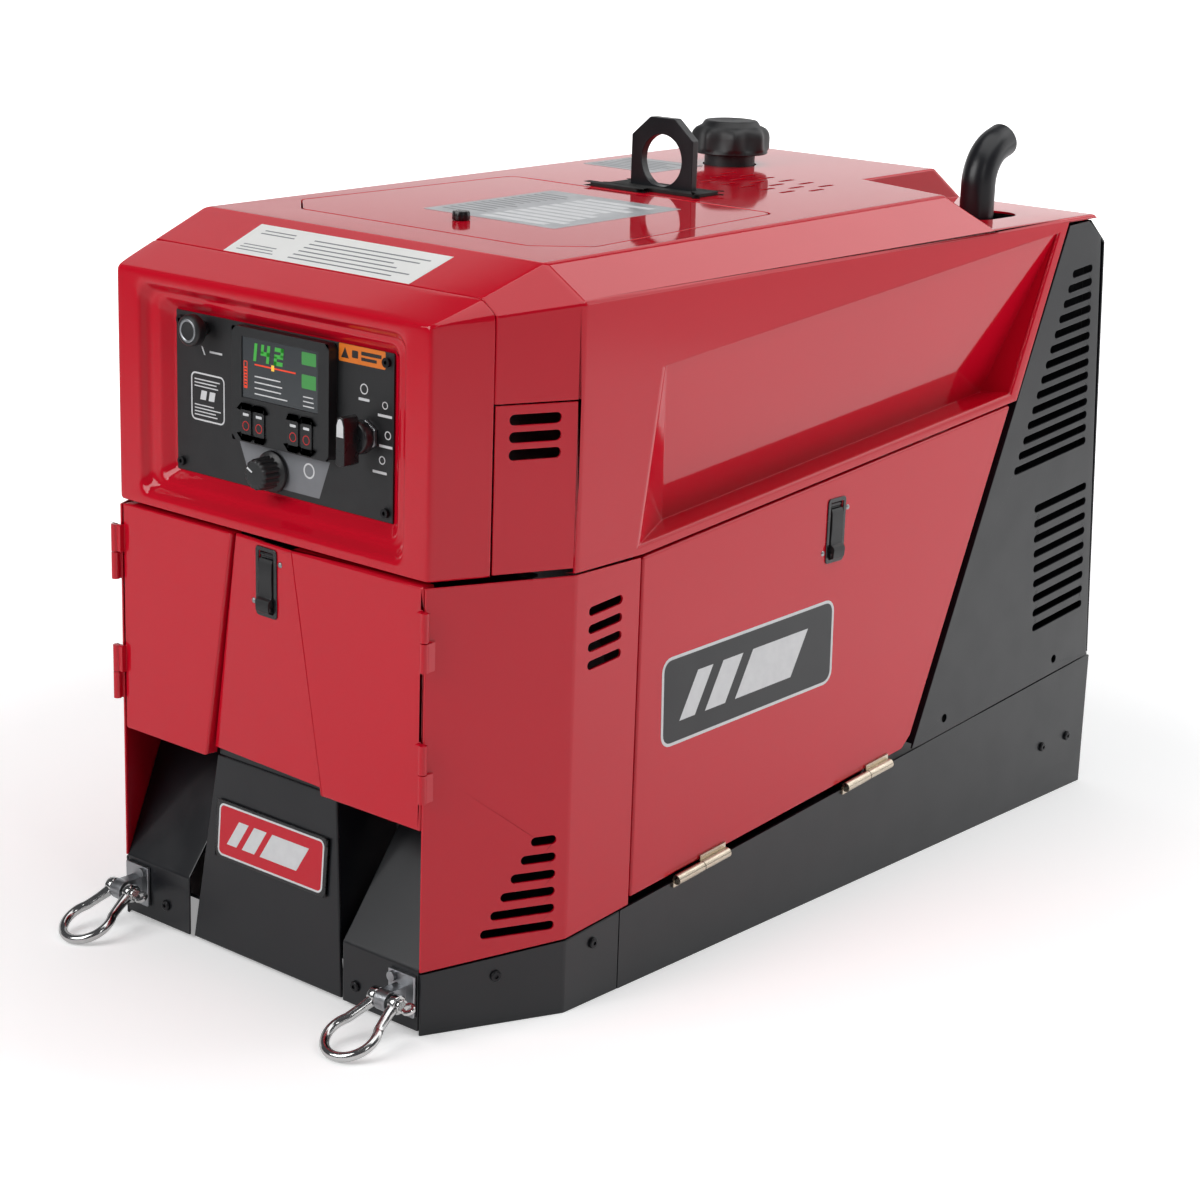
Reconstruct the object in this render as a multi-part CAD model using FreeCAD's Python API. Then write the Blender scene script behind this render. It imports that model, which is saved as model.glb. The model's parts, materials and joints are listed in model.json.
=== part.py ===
import FreeCAD, Part
import math
import os

# Engine driven welder. X points right as seen from the front, Y towards the rear and Z up.
# The origin is on the floor, at the centre of the four base bolt holes. Sizes are in mm.
# Heights and depths are measured from the floor and from the front plane of the doors.

# Enclosure
width = 546.0
length = 1080.0
sheet = 2.5
panel_gap = 3.0
front_half = 212.0
fold_depth = 134.0
seam_depth = 57.0
corner_lap = 2.2
line_slope = 0.0945

# Base and skirt
skirt_front_height = 62.0
skirt_fold_height = 75.0
skirt_joint_depth = 213.0
bolt_spacing_x = 444.0
bolt_spacing_y = 838.0
bolt_hole_r = 7.0
deck_top = 44.0

# Roof
bezel_top = 673.0
bezel_bottom = 441.0
crease_depth = 129.0
crease_half = 228.0
crease_height = 718.0
roof_slope = 0.0163
shoulder_height = 687.0
deck_height = 695.0
notch_side = 92.0
eye_depth = 571.0
cap_x, cap_depth = -90.0, 800.0
exhaust_x, exhaust_depth = 200.0, 876.0

# Control panel
panel_half, panel_low, panel_high, panel_depth = 148.0, 480.0, 637.0, 20.3

display_left, display_right, display_low, display_high = -57.0, 75.0, 526.0, 636.0
display_front = 9.5
screen_box = (-43.0, 60.0, 569.0, 627.0)
button_places = [-35.5, -17.5, 29.0, 47.0]

# Front doors. The right one leans back between its crease and the slanted split.
door_low, door_high = 203.0, 437.0
split_top, split_low = -47.0, -85.0
crease_top, crease_low = 35.0, 78.5
latch_width, latch_height, latch_low = 20.0, 60.0, 368.0
hinge_x, hinge_depth = 215.0, -4.6
hinge_r, hinge_pin_r, hinge_length = 4.0, 2.0, 56.0
hinge_heights = (234.0, 359.0)

# Side doors, hinged along the bottom
side_latch_depth, side_latch_low = 538.0, 379.0
side_hinge_r, side_hinge_pin_r = 5.2, 2.4
side_hinges = (334.0, 618.0)
side_slope = 0.0905

# Output panel
stud_places = [(-120.0, 250.0), (-40.0, 250.0)]
stud_r = 6.35

# Shackles
shackle_x, shackle_reach, shackle_height = 190.5, 23.0, 37.8
shackle_pin_r = 5.0
bow_wire_r = 4.8

# Engine and alternator
shaft_height = 235.0
shaft_r = 17.5

half = width / 2
front = -length / 2
V = FreeCAD.Vector
far = 3000.0


def at(x, depth, z):
    """A point given by its depth behind the front plane."""
    return V(x, front + depth, z)


def box(x0, x1, d0, d1, z0, z1):
    return Part.makeBox(x1 - x0, d1 - d0, z1 - z0, at(x0, d0, z0))


def rod(point, axis, radius, height):
    return Part.makeCylinder(radius, height, point, axis)


def tube(point, axis, outer, inner, height):
    return rod(point, axis, outer, height).cut(rod(point, axis, inner, height))


def prism(points, direction):
    """A flat outline of points, pushed along a direction."""
    wire = Part.makePolygon(points + [points[0]])
    return Part.Face(wire).extrude(direction)


def side_prism(outline, x0, x1):
    """An outline of (depth, height) pairs, pushed across the width."""
    return prism([at(x0, d, z) for d, z in outline], V(x1 - x0, 0, 0))


def front_prism(outline, d0, d1):
    """An outline of (x, height) pairs, pushed backwards."""
    return prism([at(x, d0, z) for x, z in outline], V(0, d1 - d0, 0))


def plan_prism(outline, z0, z1):
    """An outline of (x, depth) pairs, pushed upwards."""
    return prism([at(x, d, z0) for x, d in outline], V(0, 0, z1 - z0))


def behind(point, normal):
    """The half of space behind a plane, as a very large block."""
    block = Part.makeBox(2 * far, 2 * far, far, V(-far, -far, -far))
    turn = FreeCAD.Rotation(V(0, 0, 1), normal)
    block.Placement = FreeCAD.Placement(point, turn)
    return block


def slab(point, normal, thickness):
    """The layer of that thickness just behind a plane."""
    unit = V(normal).normalize()
    return behind(point, unit).cut(behind(point - unit * thickness, unit))


def convex(planes, inset=0.0):
    """What lies behind every plane, each plane moved in by the inset."""
    shape = None
    for point, normal in planes:
        unit = V(normal).normalize()
        block = behind(point - unit * inset, unit)
        shape = block if shape is None else shape.common(block)
    return shape


def mirror(shape):
    return shape.mirror(V(0, 0, 0), V(1, 0, 0))


def both(shape):
    """A piece and its mirror image, as two separate solids."""
    return Part.makeCompound(solids_of(shape) + solids_of(mirror(shape)))


def solids_of(shape):
    return list(shape.Solids)


def group(shapes):
    """Separate solids kept together in one node."""
    found = []
    for shape in shapes:
        found += solids_of(shape)
    return Part.makeCompound(found)


def fuse(first, *others):
    shape = first
    for other in others:
        shape = shape.fuse(other)
    return shape.removeSplitter()


def slot_along(centre, run, normal, length_mm, height_mm, deep):
    """A slot with round ends, its length along run, cut along the normal."""
    run = V(run).normalize()
    normal = V(normal).normalize()
    rise = normal.cross(run)
    reach = (length_mm - height_mm) / 2
    start = centre - normal * (deep / 2)
    ends = [start + run * reach, start - run * reach]
    up = rise * (height_mm / 2)
    corners = [ends[0] + up, ends[1] + up, ends[1] - up, ends[0] - up]
    shape = prism(corners, normal * deep)
    for end in ends:
        shape = shape.fuse(rod(end, normal, height_mm / 2, deep))
    return shape


def rounded_plate(corners, radius, thickness):
    """A flat plate with rounded corners; its points run round it at one height."""
    plate = prism(corners, V(0, 0, thickness))
    uprights = [edge for edge in plate.Edges if abs(edge.tangentAt(edge.FirstParameter).z) > 0.99]
    return plate.makeFillet(radius, uprights)


def door_top(depth):
    return 436.0 + line_slope * (depth - 229.0)


def skirt_top(depth):
    """Top edge of the skirt: it rises over the corner and then along the side."""
    if depth < fold_depth:
        rise = (skirt_fold_height - skirt_front_height) / fold_depth
        return skirt_front_height + rise * depth
    return skirt_fold_height + 0.0905 * (depth - fold_depth)


def rear_edge(z):
    """Depth of the slanted front edge of the black rear side panel."""
    return 709.0 + 0.4447 * (z - 130.0)


def back_edge(z):
    """Depth of the back of the enclosure, which leans forwards as it rises."""
    return 1075.0 - 0.082 * (z - 163.0)


def roof_z(depth):
    return crease_height + roof_slope * (depth - crease_depth)


chamfer_normal = V(fold_depth, -(half - front_half), 0).normalize()
chamfer_run = V(half - front_half, fold_depth, 0).normalize()
corner_a = at(front_half, 0, bezel_top)
corner_t = at(crease_half, crease_depth, crease_height)
corner_d = at(half, fold_depth, shoulder_height)


def on_chamfer(depth, z):
    """A point on the slanted corner face, at a given depth."""
    return at(front_half + (half - front_half) * depth / fold_depth, depth, z)


def mirrored(point, normal):
    return V(-point.x, point.y, point.z), V(-normal.x, normal.y, normal.z)


def wall_planes():
    """The upright outer faces on both sides: side and slanted corner."""
    right = [(at(half, 0, 0), V(1, 0, 0)), (at(front_half, 0, 0), chamfer_normal)]
    return right + [mirrored(point, normal) for point, normal in right]


def roof_planes():
    """The roof, the slanted front, the shoulders and the corner facets."""
    shoulder = V(0.69, -0.00997, 1)
    facet = (corner_d - corner_a).cross(corner_t - corner_a) * -1
    facet = facet if facet.z > 0 else facet * -1
    right = [(corner_t, shoulder), (corner_a, facet)]
    middle = [
        (corner_t, V(0, -roof_slope, 1)),
        (corner_a, V(0, bezel_top - crease_height, crease_depth)),
        (at(0, 954, 731), V(0, 37, 58)),
    ]
    return middle + right + [mirrored(point, normal) for point, normal in right]


def enclosure(inset=0.0):
    limits = [(at(0, 0, 0), V(0, -1, 0)), (at(0, 1200, 0), V(0, 1, 0)), (at(0, 0, 0), V(0, 0, -1))]
    return convex(wall_planes() + roof_planes(), inset).common(convex(limits))


def lower_body(inset=0.0):
    """The upright walls only, from the floor up."""
    limits = [(at(0, 0, 0), V(0, -1, 0)), (at(0, length, 0), V(0, 1, 0))]
    return convex(wall_planes() + limits, inset).common(box(-half, half, 0, length, 0, 900))


# Roof pieces are drawn flat and then laid on the sloping roof.
roof_turn = FreeCAD.Rotation(V(1, 0, 0), math.degrees(math.atan(roof_slope)))


def lay_on_roof(shape):
    base = at(0, 360.0, roof_z(360.0))
    laid = shape.copy()
    laid.Placement = FreeCAD.Placement(base, roof_turn).multiply(laid.Placement)
    return laid


def roof_point(x, depth, up=0.0):
    return V(x, depth - 360.0, up)


def hatch_plate(grow, z0, z1):
    """The outline of the roof hatch, grown all round, between two heights."""
    outline = [(198.0 + grow, 232.0), (152.0 + grow / 2, 190.0 - grow)]
    outline += [(-x, d) for x, d in reversed(outline)]
    outline += [(-180.0 - grow, 528.0 + grow), (180.0 + grow, 528.0 + grow)]
    return rounded_plate([roof_point(x, d, z0) for x, d in outline], 14.0 + grow / 3, z1 - z0)


def side_pocket(grow=0.0):
    """The long recess in the hood side, deep at its sill and fading out at its top."""
    sill = 14.0
    floor_top = at(half - 3, 275, 617.7)
    floor_low = at(half - 38, 275, door_top(275) + sill)
    along = V(0, 1, 0.0944)
    floor_normal = along.cross(floor_top - floor_low)
    floor_normal = floor_normal if floor_normal.x > 0 else floor_normal * -1
    end_low, end_high, end_deep = at(half, 222, 452), at(half, 250, 618), at(half - 38, 300, 452)
    end_normal = (end_low - end_high).cross(end_deep - end_low)
    end_normal = end_normal if end_normal.y < 0 else end_normal * -1
    planes = [
        (floor_top, floor_normal * -1),
        (end_high, end_normal),
        (at(half, 275, 617.7), V(0, -0.0944, 1)),
        (at(half, 229, 436 + sill), V(0.12, line_slope, -1)),
        (at(half, rear_edge(500) - 20, 500), V(0, 1, -0.4447)),
        (at(half + 20, 0, 0), V(1, 0, 0)),
    ]
    return convex(planes, -grow)


def exhaust_notch(grow=0.0):
    """The open corner of the roof behind the engine, where the exhaust comes out."""
    planes = [
        (at(notch_side, 0, 0), V(-1, 0, 0)),
        (at(224, 775, 729), V(-0.283, -1, -1.25)),
        (at(0, 0, deck_height), V(0, 0, -1)),
        (at(half + 60, 0, 0), V(1, 0, 0)),
        (at(0, 1250, 0), V(0, 1, 0)),
        (at(0, 0, 900), V(0, 0, 1)),
    ]
    return convex(planes, -grow)


def hood_profile(trim=0.0):
    """Side outline of the hood, as a block across the full width."""
    low = [(seam_depth, bezel_bottom), (fold_depth, 438.0), (229.0, door_top(229) + panel_gap)]
    low += [(rear_edge(505) - 4, door_top(866) + panel_gap), (rear_edge(690) - 4, 690.0), (1040.0, 690.0)]
    outline = low + [(1040.0, 800.0), (seam_depth, 800.0)]
    return side_prism(outline, -half - 50 + trim, half + 50 - trim)


def vent_slots():
    """Three staggered rows of short slots in the roof, over the engine."""
    slots = []
    for row, depth in enumerate((665.0, 700.0, 735.0)):
        for column in range(6):
            x = -40.0 + 27.0 * column + 13.0 * (row % 2)
            centre = roof_point(x, depth)
            slots.append(slot_along(centre, V(0, 1, 0), V(0, 0, 1), 26.0, 5.5, 20.0))
    return lay_on_roof(Part.makeCompound(slots))


def hood_shell():
    pocket = side_pocket()
    lining = side_pocket(sheet)
    outer = enclosure().cut(exhaust_notch()).cut(pocket).cut(mirror(pocket))
    inner = enclosure(sheet).cut(exhaust_notch(sheet)).cut(lining).cut(mirror(lining))
    shell = outer.cut(inner).common(hood_profile())
    gutter = hatch_plate(5.0, -12.0, -1.0).cut(hatch_plate(2.0, -9.5, 1.0))
    gutter = gutter.cut(hatch_plate(-12.0, -13.0, 1.0))
    shell = shell.cut(lay_on_roof(hatch_plate(2.0, -8.0, 8.0))).fuse(lay_on_roof(gutter))
    shell = shell.cut(vent_slots())
    shell = shell.cut(rod(at(cap_x, cap_depth, 680), V(0, 0, 1), 31.0, 80))
    shell = shell.cut(box(-50, 50, eye_depth - 9, eye_depth + 9, 690, 760))
    exit_centre = at(exhaust_x - 3, exhaust_depth + 16, deck_height)
    shell = shell.cut(slot_along(exit_centre, V(0, 1, 0), V(0, 0, 1), 92.0, 56.0, 30.0))
    window = corner_block(bezel_bottom - 20, 600.0, 0.0)
    return shell.cut(window).cut(mirror(window)).removeSplitter()


def corner_block(z0, z1, gap):
    """The flat corner area between the bezel seam and the fold."""
    start = on_chamfer(seam_depth + gap - 1.0, z0)
    end = on_chamfer(fold_depth - 1.5 - gap, z0)
    inward = chamfer_normal * -8.0
    outward = chamfer_normal * 2.0
    corners = [start + outward, end + outward, end + inward, start + inward]
    return prism(corners, V(0, 0, z1 - gap - z0))


def corner_panel_upper():
    """Flat vent cover in the corner of the hood, with three slots."""
    block = corner_block(bezel_bottom + 2.0, 600.0, 1.5)
    panel = block.common(slab(at(front_half, 0, 0), chamfer_normal, sheet))
    for row in range(3):
        centre = on_chamfer(93.0, 585.0 - 16.0 * row)
        panel = panel.cut(slot_along(centre, chamfer_run, chamfer_normal, 51.0, 10.0, 12.0))
    return both(panel)


def tapered_opening(half_width, z0, z1, d0, d1, shrink):
    """A rectangular opening whose walls close in towards the back."""
    def outline(reach, low, high, depth):
        corners = [(-reach, low), (reach, low), (reach, high), (-reach, high)]
        points = [at(x, depth, z) for x, z in corners]
        return Part.makePolygon(points + [points[0]])
    rear = outline(half_width - shrink, z0 + shrink, z1 - shrink, d1)
    return Part.makeLoft([outline(half_width, z0, z1, d0), rear], True, True)


def front_bezel():
    """Moulded frame around the control panel, with two steps down to the panel."""
    floor_depth = panel_depth + 2.0
    block = box(-half, half, 0, seam_depth - 1.0, bezel_bottom, 800)
    hollow = enclosure(3.0).common(box(-half, half, floor_depth + 3, 100, bezel_bottom + 3, 800))
    shape = enclosure().common(block).cut(hollow)
    shape = shape.cut(tapered_opening(180.0, 454.0, 661.0, -0.5, 11.0, 7.0))
    shape = shape.cut(tapered_opening(163.0, 467.0, 649.0, 10.9, floor_depth, 12.0))
    return shape.cut(box(-130, 130, floor_depth - 1, 60, panel_low + 14, panel_high - 4))


def control_panel():
    plate = box(-panel_half, panel_half, panel_depth, panel_depth + 2, panel_low, panel_high)
    holes = [(-106.0, 624.0, 6.3), (-9.0, 501.5, 4.2), (115.0, 557.0, 8.2)]
    for x, z, radius in holes:
        plate = plate.cut(rod(at(x, panel_depth - 1, z), V(0, 1, 0), radius, 5))
    return plate


def panel_screws():
    """Socket screws in the corners of the control panel."""
    screws = []
    for x in (-140.0, 140.0):
        for z in (panel_low + 9, panel_high - 9):
            head = rod(at(x, panel_depth - 3.5, z), V(0, 1, 0), 4.5, 3.5)
            screws.append(head.cut(rod(at(x, panel_depth - 4, z), V(0, 1, 0), 2.0, 2.5)))
    return screws


def display_housing():
    block = box(display_left, display_right, display_front, panel_depth, display_low, display_high)
    upright = [edge for edge in block.Edges if abs(edge.tangentAt(edge.FirstParameter).y) > 0.99]
    block = block.makeFillet(7.0, upright)
    x0, x1, z0, z1 = screen_box
    block = block.cut(box(x0, x1, display_front - 1, display_front + 3, z0, z1))
    for x in button_places:
        block = block.cut(box(x - 7.3, x + 7.3, display_front - 1, display_front + 6, 533.5, 558.5))
    return block


def display_screen():
    x0, x1, z0, z1 = screen_box
    return box(x0 + 0.2, x1 - 0.2, display_front + 1.2, display_front + 3, z0 + 0.2, z1 - 0.2)


def button(x):
    """A small key that sinks into the display housing."""
    key = box(x - 7.0, x + 7.0, display_front - 1.5, display_front + 3.0, 533.8, 558.2)
    upright = [edge for edge in key.Edges if abs(edge.tangentAt(edge.FirstParameter).y) > 0.99]
    return key.makeFillet(2.0, upright)


def fluted_knob(centre, radius, height, flutes, flute_r):
    """A round knob pointing forwards, with grip flutes around it."""
    knob = rod(centre, V(0, -1, 0), radius, height)
    for index in range(flutes):
        turn = 2 * math.pi * index / flutes
        offset = V(math.cos(turn), 0, math.sin(turn)) * (radius + flute_r * 0.45)
        knob = knob.cut(rod(centre + offset - V(0, 6, 0), V(0, -1, 0), flute_r, height))
    return knob


def encoder_knob():
    centre = at(-9.0, panel_depth - 1.0, 501.5)
    skirt = Part.makeCone(20.0, 17.5, 6.0, centre, V(0, -1, 0))
    grip = fluted_knob(centre - V(0, 6, 0), 15.5, 19.0, 12, 2.4)
    pin = rod(centre + V(0, 12, 0), V(0, -1, 0), 4.0, 12.5)
    return fuse(skirt, grip, pin)


def selector_knob():
    """Engine switch: a round barrel with a grip bar that points at the chosen run mode."""
    centre = at(115.0, panel_depth - 7.0, 557.0)
    barrel = rod(centre, V(0, -1, 0), 16.0, 14.0)
    bar = box(-5.5, 5.5, 0, 14.0, -24.0, 22.0)
    bar.translate(V(115.0, -28.0 + panel_depth - 7.0, 557.0))
    pin = rod(centre + V(0, 18, 0), V(0, -1, 0), 8.0, 18.5)
    return fuse(barrel, bar, pin)


def choke_knob():
    centre = at(-106.0, panel_depth - 10.0, 624.0)
    head = rod(centre, V(0, -1, 0), 15.5, 13.0)
    pull = rod(centre + V(0, 60, 0), V(0, -1, 0), 6.0, 61.0)
    return fuse(head, pull)


def skirt_band(d0, d1, z1=400.0):
    """Black skirt sheet around the base, between two depths on the right side."""
    ring = lower_body().cut(lower_body(sheet)).common(box(0, half + 1, d0, d1, 0, z1))
    outline = [(0.0, 0.0), (length, 0.0), (length, skirt_top(length))]
    outline += [(fold_depth, skirt_fold_height), (0.0, skirt_front_height)]
    return ring.common(side_prism(outline, 0, half + 1))


def skirt_front_wraps():
    corner = box(front_half - corner_lap, half + 1, 0, 300, 0, 200)
    return both(skirt_band(0.5, skirt_joint_depth).common(corner))


def skirt_rails():
    """Long side skirts and the plate that closes the back between them."""
    rail = skirt_band(skirt_joint_depth + 1.0, length - sheet)
    flange = box(half - 30, half - sheet / 2, length - 2 * sheet, length - sheet, 0, skirt_top(length) - 6)
    rails = both(fuse(rail, flange))
    plate = box(-half, half, length - sheet, length, 0, skirt_top(length) - 1)
    plate = plate.cut(slot_along(at(0, length, 80), V(1, 0, 0), V(0, 1, 0), 150.0, 40.0, 20.0))
    return group([rails, plate])


def base_frame():
    """Welded skid: two channels with feet, cross members and a deck plate."""
    deck_outline = [(-half + 4, 140), (-front_half + 3, 10), (front_half - 3, 10), (half - 4, 140)]
    deck_outline += [(half - 4, length - 6), (-half + 4, length - 6)]
    shape = plan_prism(deck_outline, deck_top - 4, deck_top)
    for side in (-1, 1):
        x = side * bolt_spacing_x / 2
        channel = box(x - 28, x + 28, 90, length - 60, 0.0, deck_top - 3)
        channel = channel.cut(box(x - 24, x + 24, 89, length - 59, 4.5, deck_top - 4))
        shape = shape.fuse(channel)
    for depth in (95.0, 380.0, 700.0, 985.0):
        member = box(-200, 200, depth, depth + 40, 12, deck_top - 3)
        shape = shape.fuse(member.cut(box(-201, 201, depth + 4, depth + 36, 11, deck_top - 8)))
    centre = length / 2
    for side in (-1, 1):
        for end in (-1, 1):
            place = at(side * bolt_spacing_x / 2, centre + end * bolt_spacing_y / 2, -1)
            shape = shape.cut(rod(place, V(0, 0, 1), bolt_hole_r, 12))
    return shape.removeSplitter()


def lower_corner_right():
    """Red corner panel under the hood, with its vents and the front hinge knuckles."""
    ring = lower_body().cut(lower_body(sheet)).common(box(front_half - 14, half + 1, 0, 226, 0, 436))
    low = [(0.0, skirt_front_height + 2), (fold_depth, skirt_fold_height + 2), (230.0, skirt_top(230) + 2)]
    profile = side_prism(low + [(230.0, 436.0), (0.0, 436.0)], 0, half + 1)
    panel = ring.common(profile).common(box(front_half - corner_lap, half + 1, 0, 226, 0, 436))
    for row in range(6):
        left = 99.0 - 9.0 * row
        depth = (left + 122.5) / 2
        span = (122.5 - left) * 1.1
        centre = on_chamfer(depth, 180.0 - 17.3 * row)
        panel = panel.cut(slot_along(centre, chamfer_run, chamfer_normal, span, 9.0, 16.0))
    for row in range(4):
        centre = at(half, 177.0, 399.0 - 17.5 * row)
        panel = panel.cut(slot_along(centre, V(0, 1, line_slope), V(1, 0, 0), 48.0, 9.0, 16.0))
    for z in hinge_heights:
        knuckle_length = hinge_length / 2 - 0.4
        knuckle = tube(at(hinge_x, hinge_depth, z), V(0, 0, 1), hinge_r, hinge_pin_r + 0.1, knuckle_length)
        leaf_points = [(front_half - 0.5, 1.0), (hinge_x - 2.2, hinge_depth - 2.6)]
        leaf_points += [(hinge_x + 3.2, hinge_depth - 1.0), (front_half + 5.5, 7.0), (front_half + 3.0, 8.0)]
        leaf = plan_prism(leaf_points, z, z + knuckle_length)
        bore = rod(at(hinge_x, hinge_depth, z - 1), V(0, 0, 1), hinge_pin_r + 0.1, hinge_length)
        panel = panel.fuse(knuckle).fuse(leaf).cut(bore)
    return panel.removeSplitter()


def hinge_knuckle(z):
    """Upper half of a front hinge, with its pin and its leaf on the door."""
    start = z + hinge_length / 2 + 0.4
    knuckle = rod(at(hinge_x, hinge_depth, start), V(0, 0, 1), hinge_r, hinge_length / 2 - 0.4)
    pin = rod(at(hinge_x, hinge_depth, z), V(0, 0, 1), hinge_pin_r, hinge_length)
    leaf = box(front_half - 6, hinge_x, hinge_depth - 1.0, -0.6, start, z + hinge_length)
    foot = box(front_half - 6, front_half - 4, -1.0, 1.0, start, z + hinge_length)
    return fuse(knuckle, pin, leaf, foot)


def lean(x_top, x_low, z):
    """X of a slanted line on the doors, at a height."""
    return x_low + (x_top - x_low) * (z - door_low) / (door_high - door_low)


def front_door_left():
    """Left front door, up to the slanted split."""
    edge = front_half - 3.6
    outline = [(-edge, door_low), (split_low - 1, door_low), (split_top - 1, door_high), (-edge, door_high)]
    inner = [(-edge + sheet, door_low + sheet), (split_low - 1 - sheet, door_low + sheet)]
    inner += [(split_top - 1 - sheet, door_high - sheet), (-edge + sheet, door_high - sheet)]
    door = front_prism(outline, 0, 14).cut(front_prism(inner, sheet, 15))
    for z in hinge_heights:
        door = door.fuse(mirror(hinge_knuckle(z)))
    return door.removeSplitter()


def crease_plane():
    """The middle of the right door: it leans back from the crease to the split."""
    top = at(crease_top, 0, door_high)
    low = at(crease_low, 0, door_low)
    inner = at(split_low, 8.0, door_low)
    normal = (low - top).cross(inner - top)
    return top, normal if normal.y < 0 else normal * -1


def front_door_right():
    edge = front_half - 3.6
    step = 9.0
    outer = [(crease_low, door_low), (edge, door_low), (edge, door_high), (crease_top, door_high)]
    middle = [(lean(split_top, split_low, door_low + step) + 1.5, door_low + step)]
    middle += [(lean(crease_top, crease_low, door_low + step) + 0.2, door_low + step)]
    middle += [(crease_top + 0.2, door_high), (split_top + 1.5, door_high)]
    point, normal = crease_plane()
    skin = front_prism(outer, 0, sheet).fuse(front_prism(middle, -20, 60).common(slab(point, normal, sheet)))
    side_rim = box(edge - sheet, edge, 0, 14, door_low, door_high)
    top_rim = box(crease_top, edge, 0, 14, door_high - sheet, door_high)
    low_rim = box(crease_low, edge, 0, 14, door_low, door_low + sheet)
    door = skin.fuse(side_rim).fuse(top_rim).fuse(low_rim)
    for z in hinge_heights:
        door = door.fuse(hinge_knuckle(z))
    window_half = latch_width / 2 + 1
    window = box(-window_half, window_half, -5, 20, latch_low, latch_low + latch_height)
    return door.cut(window).removeSplitter()


def side_door_outline(inset):
    def low(depth):
        return skirt_top(depth) + 8 + inset

    def rear(z):
        return rear_edge(z) - 12 - inset

    outline = [(229 + inset, low(229)), (rear(126) - 6, low(rear(126) - 6)), (rear(146), 146.0)]
    outline += [(rear(496), door_top(rear(496)) - inset), (229 + inset, door_top(229) - inset)]
    return outline


def side_door_right():
    """Flat service door on the right side, hinged along its bottom edge."""
    outer = side_prism(side_door_outline(0.0), half - 14, half)
    hollow = side_prism(side_door_outline(sheet), half - 15, half - sheet)
    door = outer.cut(hollow)
    window = [side_latch_depth - latch_width / 2 - 1, side_latch_depth + latch_width / 2 + 1]
    return door.cut(box(half - 20, half + 1, *window, side_latch_low, side_latch_low + latch_height))


side_axis = V(0, 1, side_slope).normalize()


def side_axis_point(depth):
    return at(half + 5.4, depth, skirt_top(depth) + 4.0)


def side_barrel(depth, start, end, leaf_low, leaf_high):
    """Half of a bottom hinge: part of the barrel and its leaf on the outer face."""
    origin = side_axis_point(depth) + side_axis * start
    barrel = rod(origin, side_axis, side_hinge_r, end - start)
    corner = at(half, depth, 0) + V(0, start, 0)
    z0 = skirt_top(depth) + side_slope * start
    z1 = skirt_top(depth) + side_slope * end
    flat = [(start, z0 + leaf_low), (end, z1 + leaf_low), (end, z1 + leaf_high), (start, z0 + leaf_high)]
    leaf = prism([V(corner.x + 0.2, front + depth + d, z) for d, z in flat], V(2.2, 0, 0))
    return barrel.fuse(leaf).removeSplitter()


def side_hinge_fixed():
    """Lower hinge halves on the skirt, each with its pin."""
    pieces = []
    for depth in side_hinges:
        knuckle = side_barrel(depth, -41.0, -0.5, -5.0, 4.0)
        pin = rod(side_axis_point(depth) - side_axis * 40, side_axis, side_hinge_pin_r, 80)
        pieces.append(fuse(knuckle, pin))
    return both(group(pieces))


def side_hinge_moving():
    """Upper hinge halves on the right side door."""
    pieces = []
    for depth in side_hinges:
        knuckle = side_barrel(depth, 0.5, 41.0, 4.0, 14.0)
        bore = rod(side_axis_point(depth) - side_axis, side_axis, side_hinge_pin_r + 0.1, 80)
        pieces.append(knuckle.cut(bore))
    return group(pieces)


def latch_paddle_front():
    """Flush paddle of the front door latch, hinged at its top."""
    low = latch_low + 3
    blade = box(-latch_width / 2, latch_width / 2, 3.2, 6.2, low, low + latch_height - 5)
    lip = box(-latch_width / 2, latch_width / 2, -3.5, 4.0, low, low + 4)
    barrel = rod(at(-latch_width / 2, 5.0, low + 53.5), V(1, 0, 0), 2.6, latch_width)
    return fuse(blade, lip, barrel)


def latch_paddle_side():
    start = side_latch_depth - latch_width / 2
    low = side_latch_low + 3
    blade = box(half - 4.5, half - 1.5, start, start + latch_width, low, low + latch_height - 5)
    lip = box(half - 4.5, half + 4.0, start, start + latch_width, low, low + 4)
    barrel = rod(at(half - 3.2, start, low + 53.5), V(0, 1, 0), 2.6, latch_width)
    return fuse(blade, lip, barrel)


def louvre(depth0, depth1, z, height_mm):
    """One tilted slot in the black side panel, given by its two ends."""
    centre = at(half, (depth0 + depth1) / 2, z)
    return slot_along(centre, V(0, 1, 0.1), V(1, 0, 0), depth1 - depth0, height_mm, 16.0)


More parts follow.
